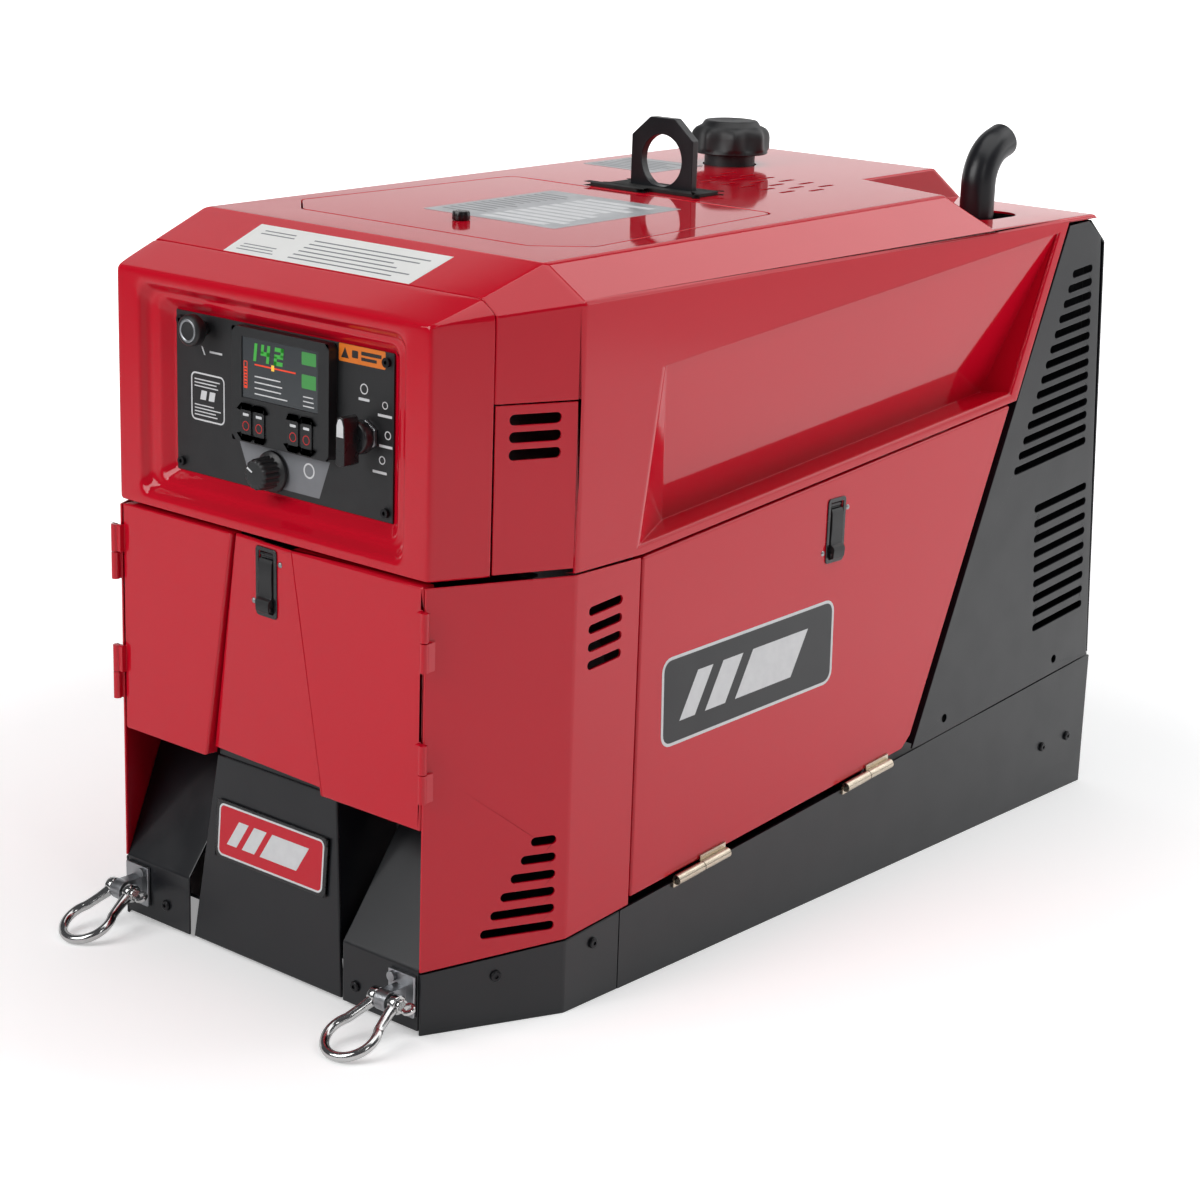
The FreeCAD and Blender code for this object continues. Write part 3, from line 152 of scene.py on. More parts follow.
def makeRoom():
    # a dim room; a white floor whose glow on the object grows along a line to the back right, metres from the middle,
    # while the floor itself is shown at a level that grows outwards, so that it looks darker near the object: a
    # painted shade round the object's foot, on top of the lamps' real shadow; a white wall behind whose glow changes
    # with height
    world = bpy.data.worlds.new("studioRoom")
    bpy.context.scene.world = world
    world.use_nodes = True
    world.node_tree.nodes["Background"].inputs["Color"].default_value = linear("#F8F9FF")
    world.node_tree.nodes["Background"].inputs["Strength"].default_value = roomLevels["around"]
    wide, far, high = (roomSize[key] for key in ("wide", "far", "high"))
    away, across = np.array([-0.647, 0.763, 0]), np.array([0.763, 0.647, 0])  # back of the object, and sideways
    foot, side = away * far, across * wide
    wall = [foot - side, foot + side, foot + side + (0, 0, high), foot - side + (0, 0, high)]
    ground = [(x * wide, y * wide, 0) for x, y in ((-6, -6), (6, -6), (6, 6), (-6, 6))]

    paper, tree, shader, place = makePaper("studioFloor", "#F4F4F4")
    along = addNode(tree, "VectorMath", {1: (0.64, 0.77, 0)}, {0: place}, operation="DOT_PRODUCT")
    glow = addNode(tree, "MapRange", {"From Min": -1.0, "From Max": 1.2, "To Min": roomLevels["floorFront"],
                                      "To Max": roomLevels["floorBack"]}, {"Value": along.outputs["Value"]})
    seen = addNode(tree, "LightPath").outputs["Is Camera Ray"]
    # the floor as the camera sees it glows less near the object than far off: a painted shade round the object's foot
    away = addNode(tree, "VectorMath", None, {0: place}, operation="LENGTH").outputs["Value"]
    shown = addNode(tree, "MapRange", {"From Min": 0.8, "From Max": 2.2, "To Min": roomLevels["floorSeenShaded"],
                                       "To Max": roomLevels["floorFar"]}, {"Value": away})
    level = addNode(tree, "Mix", None, {0: seen, 2: glow.outputs["Result"], 3: shown.outputs["Result"]})
    tree.links.new(level.outputs[0], shader.inputs["Emission Strength"])

    wallPaper, tree, shader, place = makePaper("studioWall", "#D8D8D8")
    height = addNode(tree, "SeparateXYZ", None, {0: place}).outputs["Z"]
    glow = addNode(tree, "MapRange", {"From Min": 1.1, "From Max": 1.7, "To Min": roomLevels["wallLow"],
                                      "To Max": roomLevels["wallHigh"]}, {"Value": height})
    tree.links.new(glow.outputs["Result"], shader.inputs["Emission Strength"])
    for name, corners, material in (("studioFloor", ground, paper), ("studioWall", wall, wallPaper)):
        mesh = bpy.data.meshes.new(name)
        mesh.from_pydata([tuple(map(float, c)) for c in corners], [], [(0, 1, 2, 3)])
        sheet = bpy.data.objects.new(name, mesh)
        bpy.context.scene.collection.objects.link(sheet)
        mesh.materials.append(material)
    bpy.context.scene.view_settings.view_transform = "Standard"


makeCamera(cameraView)
makeLights(studioLights)
makeRoom()
print("camera, light and floor made")

# ---- finishes. Each look: two close colours and the size in mm of their patches, roughness from and to with
# the size of its smudges, the grain's size in mm with the height of its bumps, and the shader's fixed values.


def makeFinish(name, look):
    # colour, roughness and bump each come from their own noise, sized in mm on Object coordinates
    material = bpy.data.materials.new(name)
    material.use_nodes = True
    tree = material.node_tree
    shader = tree.nodes["Principled BSDF"]
    place = addNode(tree, "TexCoord").outputs["Object"]
    if "stretch" in look:
        place = addNode(tree, "Mapping", {"Scale": look["stretch"]}, {"Vector": place}).outputs["Vector"]
    patches = addNode(tree, "TexNoise", {"Scale": 1000 / look["patch"], "Detail": 4.0}, {"Vector": place})
    colour = addNode(tree, "Mix", {6: linear(look["colour"]), 7: linear(look["shade"])},
                     {0: patches.outputs["Fac"]}, data_type="RGBA")
    tree.links.new(colour.outputs[2], shader.inputs["Base Color"])
    smudges = addNode(tree, "TexNoise", {"Scale": 1000 / look["smudge"], "Detail": 5.0}, {"Vector": place})
    low, high = look["rough"]
    rough = addNode(tree, "MapRange", {"From Min": 0.35, "From Max": 0.65, "To Min": low, "To Max": high},
                    {"Value": smudges.outputs["Fac"]})
    tree.links.new(rough.outputs["Result"], shader.inputs["Roughness"])
    grain = addNode(tree, "TexNoise", {"Scale": 1000 / look["grain"], "Detail": 2.0}, {"Vector": place})
    bump = addNode(tree, "Bump", {"Strength": look["bump"], "Distance": look["height"] / 1000},
                   {"Height": grain.outputs["Fac"]})
    tree.links.new(bump.outputs["Normal"], shader.inputs["Normal"])
    for socket, value in look.get("fixed", {}).items():
        shader.inputs[socket].default_value = value
    return material


# what each finish is, with what it gives the eye
redPowder = {  # glossy polyester powder coat on steel: its slow ripple, like orange peel, wobbles the reflections
    "colour": "#C60A24", "shade": "#BD0821", "patch": 240, "rough": (0.045, 0.075), "smudge": 60,
    "grain": 4.5, "bump": 0.05, "height": 0.3, "fixed": {"IOR": 1.45}}
blackPowder = {  # satin powder coat with a fine sand texture: wide soft highlights on near black
    "colour": "#15171B", "shade": "#121317", "patch": 120, "rough": (0.28, 0.36), "smudge": 45,
    "grain": 2.2, "bump": 0.12, "height": 0.3, "fixed": {"IOR": 1.46}}
looks = {
    "redPowderCoat": redPowder,
    "blackPowderCoat": blackPowder,
    "stippledAbs": {  # moulded ABS, spark eroded texture
        "colour": "#17181A", "shade": "#141517", "patch": 60, "rough": (0.42, 0.52), "smudge": 30,
        "grain": 1.6, "bump": 0.22, "height": 0.25, "fixed": {"IOR": 1.53}},
    "polishedNylon": {  # glass filled nylon from a polished mould
        "colour": "#101113", "shade": "#16171A", "patch": 40, "rough": (0.22, 0.32), "smudge": 20,
        "grain": 3.0, "bump": 0.06, "height": 0.2, "fixed": {"IOR": 1.53}},
    "paintedScrew": {  # black zinc on small steel screws
        "colour": "#1B1B1D", "shade": "#242427", "patch": 10, "rough": (0.3, 0.45), "smudge": 6,
        "grain": 1.2, "bump": 0.1, "height": 0.1, "fixed": {"Metallic": 0.6}},
    "antiGlareGlass": {  # display window, dark behind
        "colour": "#2A2F33", "shade": "#2E3337", "patch": 50, "rough": (0.08, 0.14), "smudge": 35,
        "grain": 2.0, "bump": 0.02, "height": 0.1, "fixed": {"Coat Weight": 0.5, "IOR": 1.5}},
    "epdmRubber": {  # pressed rubber, chalky black
        "colour": "#141414", "shade": "#1C1C1B", "patch": 15, "rough": (0.7, 0.85), "smudge": 12,
        "grain": 1.5, "bump": 0.3, "height": 0.2, "fixed": {}},
    "nickelPlate": {  # dull nickel on rolled steel, drawn along the barrel
        "colour": "#C9BEAE", "shade": "#B8AB98", "patch": 12, "rough": (0.2, 0.34), "smudge": 6,
        "grain": 1.4, "bump": 0.12, "height": 0.1, "stretch": (4, 0.4, 4), "fixed": {"Metallic": 1.0}},
    "polishedStainless": {  # tumbled and polished forging
        "colour": "#CFCFCE", "shade": "#BDBDBD", "patch": 9, "rough": (0.1, 0.2), "smudge": 7,
        "grain": 3.5, "bump": 0.12, "height": 0.15, "fixed": {"Metallic": 1.0}},
    "zincSteel": {  # plated and lightly rolled steel
        "colour": "#A9ABAE", "shade": "#96989B", "patch": 14, "rough": (0.28, 0.42), "smudge": 10,
        "grain": 1.5, "bump": 0.15, "height": 0.12, "fixed": {"Metallic": 1.0}},
    "aluminisedSteel": {  # silencer skin, dull silver with flow marks
        "colour": "#B9BBBC", "shade": "#A0A1A0", "patch": 30, "rough": (0.3, 0.5), "smudge": 18,
        "grain": 2.5, "bump": 0.1, "height": 0.2, "fixed": {"Metallic": 1.0}},
    "castAluminium": {  # sand cast, grainy and pale
        "colour": "#9EA1A4", "shade": "#8B8E91", "patch": 20, "rough": (0.5, 0.65), "smudge": 15,
        "grain": 1.8, "bump": 0.35, "height": 0.35, "fixed": {"Metallic": 1.0}},
    "varnishedCopper": {  # windings under amber varnish
        "colour": "#7A3A1C", "shade": "#5A2A16", "patch": 8, "rough": (0.25, 0.4), "smudge": 6,
        "grain": 1.4, "bump": 0.4, "height": 0.4, "stretch": (1, 0.2, 1), "fixed": {"Metallic": 1.0}},
    "mouldedTank": {  # rotomoulded polyethylene, waxy black
        "colour": "#1B1C1E", "shade": "#222326", "patch": 60, "rough": (0.45, 0.6), "smudge": 25,
        "grain": 2.6, "bump": 0.2, "height": 0.3, "fixed": {"IOR": 1.54}},
    "brassPlate": {  # turned brass studs
        "colour": "#C9A453", "shade": "#B38C3E", "patch": 8, "rough": (0.2, 0.35), "smudge": 5,
        "grain": 1.2, "bump": 0.1, "height": 0.1, "fixed": {"Metallic": 1.0}},
    "whiteVinyl": {  # printed polyester label, white ground
        "colour": "#E9E9E7", "shade": "#DEDEDC", "patch": 50, "rough": (0.3, 0.4), "smudge": 25,
        "grain": 3.0, "bump": 0.05, "height": 0.1, "fixed": {"IOR": 1.5}},
    "silverVinyl": {  # metallised label film
        "colour": "#B9BBBE", "shade": "#A9ABAE", "patch": 40, "rough": (0.3, 0.42), "smudge": 25,
        "grain": 2.0, "bump": 0.05, "height": 0.1, "fixed": {"Metallic": 0.4}},
    "greyInk": {  # screen print on the labels
        "colour": "#6E7074", "shade": "#7C7E82", "patch": 20, "rough": (0.4, 0.5), "smudge": 15,
        "grain": 1.5, "bump": 0.05, "height": 0.05, "fixed": {}},
    "whiteInk": {  # pad print on the panel
        "colour": "#DADBDC", "shade": "#C8C9CB", "patch": 10, "rough": (0.4, 0.5), "smudge": 8,
        "grain": 1.2, "bump": 0.06, "height": 0.05, "fixed": {}},
    "orangeInk": {  # pad print, flat warm orange
        "colour": "#E07A1F", "shade": "#D46F18", "patch": 10, "rough": (0.35, 0.45), "smudge": 8,
        "grain": 1.2, "bump": 0.05, "height": 0.05, "fixed": {}},
    "redInk": {  # pad print, flat red
        "colour": "#C81E1E", "shade": "#B81818", "patch": 10, "rough": (0.35, 0.45), "smudge": 8,
        "grain": 1.2, "bump": 0.05, "height": 0.05, "fixed": {}},
}
finishes = {name: makeFinish(name, look) for name, look in looks.items()}


def makeLitFinish(name, colour, strength):
    # a backlit display: one colour with its own glow, on a fine grain that keeps it from looking painted
    look = {"colour": colour, "shade": colour, "patch": 5, "rough": (0.3, 0.35), "smudge": 10,
            "grain": 1.0, "bump": 0.02, "height": 0.05,
            "fixed": {"Emission Color": linear(colour), "Emission Strength": strength}}
    finishes[name] = makeFinish(name, look)


makeLitFinish("greenBacklight", "#3C9A3C", 0.35)
makeLitFinish("redBacklight", "#D03A1E", 0.5)
makeLitFinish("dimBacklight", "#3F8A45", 0.2)
makeLitFinish("amberBacklight", "#E0B040", 0.5)
print("finishes made:", len(finishes))

slotFinish = {
    "red_paint": "redPowderCoat", "black_paint": "blackPowderCoat", "black_plastic": "stippledAbs",
    "gloss_black": "polishedNylon", "screen_glass": "antiGlareGlass", "rubber": "epdmRubber",
    "nickel": "nickelPlate",
    "chrome": "polishedStainless", "steel": "zincSteel", "cast_aluminium": "castAluminium",
    "copper_iron": "varnishedCopper", "tank_plastic": "mouldedTank", "brass": "brassPlate"}
nodeFinish = {"muffler": "aluminisedSteel", "body_screws": "paintedScrew"}

# ---- shapes


def addPiece(name, points, faces, body, finish, slot=None, sharp=35):
    # a mesh from arrays, doubles merged and faces turned outwards, riding on a body
    mesh = bpy.data.meshes.new(name)
    mesh.from_pydata(np.asarray(points, float).reshape(-1, 3).tolist(), [], [list(map(int, f)) for f in faces])
    work = bmesh.new()
    work.from_mesh(mesh)
    bmesh.ops.remove_doubles(work, verts=work.verts, dist=1e-6)
    bmesh.ops.recalc_face_normals(work, faces=work.faces)
    work.to_mesh(mesh)
    work.free()
    mesh.shade_smooth()
    mesh.set_sharp_from_angle(angle=math.radians(sharp))
    mesh.materials.append(finishes[finish])
    piece = bpy.data.objects.new(name, mesh)
    bpy.context.scene.collection.objects.link(piece)
    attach(piece, body)
    return piece


def gridFaces(rows, columns, wrap):
    # quads between neighbouring rows and columns; wrap joins the last column, or with "both" the last row too
    r = np.arange(rows if wrap == "both" else rows - 1)[:, None]
    c = np.arange(columns if wrap else columns - 1)[None, :]
    corners = [(r, c), (r, c + 1), (r + 1, c + 1), (r + 1, c)]
    return np.stack([(a % rows) * columns + b % columns for a, b in corners], -1).reshape(-1, 4)


def turned(profile, centre, axis, count, grooves=0, power=1.0):
    # a profile of radius, height and groove depth in mm carried round an axis; grooves cuts a wave into it
    rows = np.array([(list(p) + [0.0])[:3] for p in profile], float)
    theta = np.linspace(0, 2 * np.pi, count, endpoint=False)
    wave = (0.5 - 0.5 * np.cos(grooves * theta)) ** power if grooves else np.zeros(count)
    radius = (rows[:, :1] - rows[:, 2:] * wave) / 1000
    axis = np.array(axis, float)
    side = np.cross(axis, (1, 0, 0) if abs(axis[0]) < 0.9 else (0, 1, 0))
    side /= np.linalg.norm(side)
    other = np.cross(axis, side)
    spread = radius[..., None] * (np.cos(theta)[:, None] * side + np.sin(theta)[:, None] * other)
    points = np.array(centre) + spread + rows[:, 1, None, None] / 1000 * axis
    return points, gridFaces(len(rows), count, True)


def swept(path, normal, section, scale=None, closed=False):
    # a section of side and normal offsets in mm carried along a flat path in metres, squarely to it
    path = np.array(path, float)
    along = np.roll(path, -1, 0) - np.roll(path, 1, 0) if closed else np.gradient(path, axis=0)
    along /= np.linalg.norm(along, axis=1)[:, None]
    side = np.cross(along, normal)
    section = np.array(section, float) / 1000
    size = np.ones(len(path)) if scale is None else np.array(scale, float)
    points = path[:, None] + size[:, None, None] * (
        side[:, None] * section[None, :, :1] + np.array(normal, float) * section[None, :, 1:])
    return points, gridFaces(len(path), len(section), "both" if closed else True)


def roundSection(radius, count):
    # a circle about the origin: radius times the cosine and sine of even steps of a turn
    turn = np.linspace(0, 2 * np.pi, count, endpoint=False)
    return np.stack([np.cos(turn), np.sin(turn)], 1) * radius


def joined(parts):
    # several point and face arrays as one
    points, faces, start = [], [], 0
    for more, quads in parts:
        more = np.asarray(more).reshape(-1, 3)
        points.append(more)
        faces += [[int(i) + start for i in face] for face in quads]
        start += len(more)
    return np.concatenate(points), faces


def capped(points, faces):
    # closes both ends of a sweep with one face each
    rows, columns = points.shape[:2]
    first, last = np.arange(columns)[::-1], np.arange(columns) + (rows - 1) * columns
    return points, [list(f) for f in faces] + [list(first), list(last)]


def roundRect(x0, x1, y0, y1, radius, steps=6):
    # the outline of a rectangle with its corners rounded, counter-clockwise
    turn = np.linspace(0, np.pi / 2, steps)
    arc = np.stack([np.cos(turn), np.sin(turn)], 1) * radius
    spin = [np.array([[1, 0], [0, 1]]), np.array([[0, 1], [-1, 0]]), np.array([[-1, 0], [0, -1]]),
            np.array([[0, -1], [1, 0]])]
    hubs = [(x1 - radius, y1 - radius), (x0 + radius, y1 - radius), (x0 + radius, y0 + radius),
            (x1 - radius, y0 + radius)]
    return np.concatenate([arc @ s + hub for s, hub in zip(spin, hubs)])


def circle(x, y, radius, count=24):
    # a circle moved to x, y
    return roundSection(radius, count) + (x, y)


def plates(outlines, plane, low, high):
    # flat shapes in mm on a plane, each from low to high above it; a pair of outlines makes a ring
    origin, right, up = (np.array(v, float) for v in plane)
    normal = np.cross(right, up)
    parts = []
    for outline in outlines:
        rings = outline if isinstance(outline, tuple) else (outline,)
        loops = [origin + (np.array(ring)[:, :1] * right + np.array(ring)[:, 1:] * up + h * normal) / 1000
                 for ring in rings for h in (low, high)]
        n = len(loops[0])
        if len(rings) == 2:
            points = np.stack([loops[0], loops[1], loops[3], loops[2]])
            parts.append((points, gridFaces(4, n, "both")))
        else:
            points = np.stack(loops)
            faces = [list(f) for f in gridFaces(2, n, True)] + [list(range(n))[::-1], list(range(n, 2 * n))]
            parts.append((points, faces))
    return joined(parts)


def addFilm(name, shapes, plane, span, body, finish):
    # thin print, label or plate: flat shapes between the two heights of its span, in mm over a plane
    return addPiece(name, *plates(shapes, plane, *span), body, finish, None, 30)


def roundEdges(piece, radius, limit):
    # rounds every edge sharper than limit degrees to a radius in mm
    edge = piece.modifiers.new("roundedEdges", "BEVEL")
    edge.width, edge.segments, edge.limit_method, edge.angle_limit = radius / 1000, 2, "ANGLE", math.radians(limit)


edgeRule = {  # share of a face's width, sheet mm, and the angle under which an edge needs this length in metres
    "share": 0.3, "sheet": 2.5, "softAngle": 35, "softLength": 0.05, "least": 0.3, "segments": 3, "flat": 0.4}


def formed(node, radius, sharp=10, finish=None):
    # a CAD node's own solid with its triangles merged and its edges rounded: radius mm on the outside of a
    # bend, less the sheet on its inside, and never over a share of the width of the faces beside the edge,
    # which is twice a face's area over its outline; a soft angle counts only along a long edge
    source = frame["nodes"][node]
    mesh = source.data.copy()
    work = bmesh.new()
    work.from_mesh(mesh)
    bmesh.ops.remove_doubles(work, verts=work.verts, dist=2e-6)
    bmesh.ops.dissolve_limit(work, angle_limit=math.radians(edgeRule["flat"]), verts=work.verts, edges=work.edges)
    weight = work.edges.layers.float.new("bevel_weight_edge")
    broad = {f: 2000 * f.calc_area() / max(f.calc_perimeter(), 1e-9) for f in work.faces}
    for edge in work.edges:
        if len(edge.link_faces) != 2:
            continue
        angle = math.degrees(edge.calc_face_angle_signed(0.0))
        if abs(angle) < sharp or (abs(angle) < edgeRule["softAngle"] and edge.calc_length() < edgeRule["softLength"]):
            continue
        wanted = radius if angle > 0 else max(radius - edgeRule["sheet"], edgeRule["least"])
        edge[weight] = min(wanted, edgeRule["share"] * min(broad[f] for f in edge.link_faces)) / radius
    bmesh.ops.triangulate(work, faces=work.faces)
    for face in work.faces:
        face.smooth = True
    work.to_mesh(mesh)
    work.free()
    mesh.materials.clear()
    mesh.materials.append(finishes[finish or nodeFinish.get(node) or slotFinish[slotOf[node]]])
    piece = bpy.data.objects.new(node + "_formed", mesh)
    mesh.name = node + "_formed"
    bpy.context.scene.collection.objects.link(piece)
    bevel = piece.modifiers.new("roundedEdges", "BEVEL")
    bevel.limit_method = "WEIGHT"
    bevel.width = radius / 1000
    bevel.segments = edgeRule["segments"]
    bevel.use_clamp_overlap = False
    even = piece.modifiers.new("flatFaces", "WEIGHTED_NORMAL")
    even.mode = "FACE_AREA"
    even.weight = 90
    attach(piece, source["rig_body"])
    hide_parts(node)
    return piece


formedParts = {  # node: (bend radius mm, smallest angle that counts as an edge)
    "hood_shell": (4.0, 8), "roof_hatch": (1.4, 30), "front_door_left": (3.0, 12),
    "front_door_right": (3.0, 1.5),
    "side_door_right": (3.0, 12), "side_door_left": (3.0, 12), "corner_panel_lower_right": (3.0, 12),
    "corner_panel_lower_left": (3.0, 12), "corner_panels_upper": (0.8, 30),
    "skirt_front_wraps": (3.0, 12), "rear_side_panels": (3.0, 12), "rear_panel": (3.0, 12),
    "front_apron": (3.0, 12),
    "cable_guides": (3.0, 12), "apron_badge": (0.8, 35), "control_panel": (0.6, 35),
    "display_housing": (0.6, 35),
    "lift_eye": (1.2, 35), "lift_eye_gasket": (1.0, 35), "shackle_brackets": (1.0, 35), "button_1": (0.6, 35),
    "button_2": (0.6, 35), "button_3": (0.6, 35), "button_4": (0.6, 35), "latch_paddle_front": (0.8, 35),
    "latch_paddle_right": (0.8, 35), "latch_paddle_left": (0.8, 35), "base_frame": (1.5, 35),
    "output_panel": (0.8, 35),
    "battery": (2.5, 35), "weld_module": (1.2, 35), "receptacles": (0.8, 40),
}
for node, (radius, sharp) in formedParts.items():
    formed(node, radius, sharp)
for node, item in frame["nodes"].items():
    item.data.materials.clear()
    item.data.materials.append(finishes[nodeFinish.get(node) or slotFinish[slotOf[node]]])
print("formed parts made:", len(formedParts))

# ---- bezel: loops from the seam, over the front rim and down two steps to the panel, made smooth

bezel = {"half": 212.0, "low": 441.0, "high": 673.0, "lean": 0.455, "rise": 0.349, "cutX": 0.331,
         "cutZ": 0.2445}
bezelSteps = [  # half width, low, high, corner radius and depth of each loop inside the front rim
    (205.0, 444.0, 669.5, 6.0, 0.0), (187.0, 449.0, 666.0, 12.0, 0.0), (181.0, 453.0, 662.0, 14.0, 0.4),
    (178.0, 456.5, 658.5, 14.0, 5.0),
    (174.0, 460.5, 654.5, 14.0, 10.6), (168.0, 464.0, 651.5, 13.0, 11.2), (163.5, 467.0, 649.0, 12.0, 11.6),
    (160.5, 470.0, 646.0, 11.0, 14.0), (153.5, 476.5, 639.5, 9.0, 20.6), (151.0, 478.0, 638.0, 8.0, 22.6),
    (144.0, 486.0, 630.0, 6.0, 23.0)]


def bezelLoop(wide, low, high, top, bottom, depth, bulge, corner=7, straight=9):
    # a rectangle whose corners are cut by top or bottom, each an x and z extent, straight or bulged to an arc
    turn = np.linspace(0, np.pi / 2, corner)[:, None]
    arc = np.concatenate([np.cos(turn), np.sin(turn)], 1)
    share = turn / (np.pi / 2)
    cut = np.concatenate([1 - share, share], 1)
    shape = bulge * arc + (1 - bulge) * cut
    upper, under = np.array(top), np.array(bottom)
    right = np.array([wide, high]) - upper + shape * upper
    left = (right * (-1, 1))[::-1]
    lowRight = (np.array([wide, low]) + under * (-1, 1) + shape * under * (1, -1))[::-1]
    lowLeft = (lowRight * (-1, 1))[::-1]
    turns = [right, left, lowLeft, lowRight]
    loop = []
    for here, there in zip(turns, turns[1:] + turns[:1]):
        gap = np.linspace(0, 1, straight + 2)[1:-1, None]
        loop += [here, here[-1] + gap * (there[0] - here[-1])]
    flat = np.concatenate(loop)
    return np.stack([flat[:, 0], np.full(len(flat), depth), flat[:, 1]], 1)


def makeBezel():
    # loops that widen and rise in line with their depth from the rim back to the seam, then the table's steps
    d = bezel
    loops = []
    for depth in (56.0, 54.0, 20.0, 7.0, 0.2):
        top = (max(d["cutX"] * depth, 3.0), max(d["cutZ"] * depth, 3.0))
        half, high = d["half"] + d["lean"] * depth, d["high"] + d["rise"] * depth
        loops.append(bezelLoop(half, d["low"], high, top, (2.5, 2.5), depth, 0.25))
    for half, low, high, radius, depth in bezelSteps:
        loops.append(bezelLoop(half, low, high, (radius, radius), (radius, radius), depth, 1.0))
    points = (np.stack(loops) - (0, halfLength, 0)) / 1000
    return points, gridFaces(len(loops), points.shape[1], True)


piece = addPiece("bezelMoulding", *makeBezel(), "chassis", "redPowderCoat", "red_paint", 180)
wallSheet = piece.modifiers.new("wallThickness", "SOLIDIFY")
wallSheet.thickness, wallSheet.offset = 0.0022, -1.0
smooth = piece.modifiers.new("smoothMoulding", "SUBSURF")
smooth.levels = smooth.render_levels = 2
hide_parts("front_bezel")
print("bezel made")

# ---- shackles

shackle = {"x": 190.5, "depth": -23.0, "height": 37.8, "bowRadius": 26.0, "reach": 50.0, "ear": 13.5,
           "wire": 4.8, "earRadius": 9.4, "earWidth": 9.2, "spread": 38.0, "tip": 76.0, "pin": 4.9}


def leaned(points, pivot, turn):
    # points turned about an X axis through the pivot
    points = np.asarray(points).reshape(-1, 3) - pivot
    c, s = math.cos(turn), math.sin(turn)
    return points @ np.array([[1, 0, 0], [0, c, -s], [0, s, c]]).T + pivot


def makeShackle(side):
    # a bow: an arc past a half turn, joined to the ears by two quadratic curves and thickened towards them; ears,
    # pin and pin eye are turned profiles; all lean about the pivot until the bow rests just above the floor
    d = shackle
    x = d["x"] * (-1 if side == "left" else 1)
    pivot = at(x, d["depth"], d["height"])
    drop = math.asin((d["height"] - d["wire"] - 0.2) / d["tip"])
    spread = math.radians(d["spread"])
    turn = np.linspace(spread, -math.pi - spread, 61)
    bow = np.stack([np.cos(turn), np.sin(turn), np.zeros(61)], 1) * d["bowRadius"] + (0, -d["reach"], 0)
    ease = np.linspace(0, 1, 10)[:-1, None]
    start, finish = np.array([d["ear"], -5.0, 0]), bow[0]
    mid = np.array([d["ear"] + 1.5, -16.0, 0])
    leg = (1 - ease) ** 2 * start + 2 * ease * (1 - ease) * mid + ease ** 2 * finish
    path = np.concatenate([leg, bow, (leg * (-1, 1, 1))[::-1]])
    grow = 1 + 0.22 * np.exp(-(np.minimum(np.arange(len(path)), np.arange(len(path))[::-1]) / 3.5) ** 2)
    tube = capped(*swept(pivot + path / 1000, (0, 0, 1), roundSection(d["wire"], 20), grow))
    parts = [(tube[0], tube[1])]
    r, w = d["earRadius"], d["earWidth"] / 2
    ear = [(5.1, -w), (r - 1.6, -w), (r - 0.5, -w + 0.5), (r, -w + 1.6), (r, w - 1.6), (r - 0.5, w - 0.5),
           (r - 1.6, w), (5.1, w), (5.1, -w)]
    for sign in (-1, 1):
        parts.append(turned(ear, pivot + np.array([sign * d["ear"] / 1000, 0, 0]), (1, 0, 0), 36))
    points, faces = joined(parts)
    piece = addPiece("shackleBow_" + side, leaned(points, pivot, drop), faces, "shackle_" + side,
                     "polishedStainless", "chrome", 50)
    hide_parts("shackle_bow_" + side)
    p = d["pin"]
    rod = [(0, -20), (p - 0.8, -20), (p, -19.2), (p, 18.6), (6.6, 18.8), (6.9, 19.4), (6.9, 21.2), (6.4, 21.8),
           (0, 21.8)]
    pinShape = turned(rod, pivot, (1, 0, 0), 32)
    eyeCentre = pivot + np.array([29, 0, 0]) / 1000
    ring = [(3.2, -1.7), (3.8, -2.4), (6.2, -2.4), (7.0, -1.5), (7.0, 1.5), (6.2, 2.4), (3.8, 2.4), (3.2, 1.7),
            (3.2, -1.7)]
    eye = turned(ring, eyeCentre, (0, 0, 1), 32)
    neck = plates([roundRect(20.5, 26.0, -4.2, 4.2, 0.8)], (pivot, (1, 0, 0), (0, 1, 0)), -2.2, 2.2)
    points, faces = joined([pinShape, eye, neck])
    piece = addPiece("shacklePin_" + side, leaned(points, pivot, drop), faces, "shackle_" + side,
                     "polishedStainless", "chrome", 40)
    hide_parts("shackle_pin_" + side)


for side in ("left", "right"):
    makeShackle(side)
print("shackles made")

# ---- exhaust elbow

elbow = {"x": 200.0, "depth": 876.0, "low": 640.0, "knee": 730.0, "bend": 45.0, "turn": 72.0, "end": 12.0,
         "radius": 19.0, "bore": 16.5}


def makeElbow():
    # a straight, an arc and a short straight in one plane, with the wall's section turned in at the mouth
    d = elbow
    arc = np.radians(np.linspace(0, d["turn"], 33))
    bend = np.stack([np.full(33, d["x"]), d["depth"] + d["bend"] * (1 - np.cos(arc)),
                     d["knee"] + d["bend"] * np.sin(arc)], 1)
    out = np.array([0, math.sin(arc[-1]), math.cos(arc[-1])])
    rise = np.stack([np.full(9, d["x"]), np.full(9, d["depth"]), np.linspace(d["low"], d["knee"], 10)[:-1]], 1)
    tail = bend[-1] + np.array([0.5, 1.0])[:, None] * d["end"] * out
    path = np.concatenate([rise, bend, tail])
    path = (path - (0, halfLength, 0)) / 1000
    outer, inner = roundSection(d["radius"], 40), roundSection(d["bore"], 40)
    outside, quads = swept(path, (1, 0, 0), outer)
    inside, _ = swept(path, (1, 0, 0), inner)
    loop = np.concatenate([outside, inside[::-1]])
    return loop, gridFaces(len(loop), 40, "both")


piece = addPiece("exhaustElbow", *makeElbow(), "chassis", "blackPowderCoat", "black_paint", 50)
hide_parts("exhaust_pipe")

# ---- fuel cap

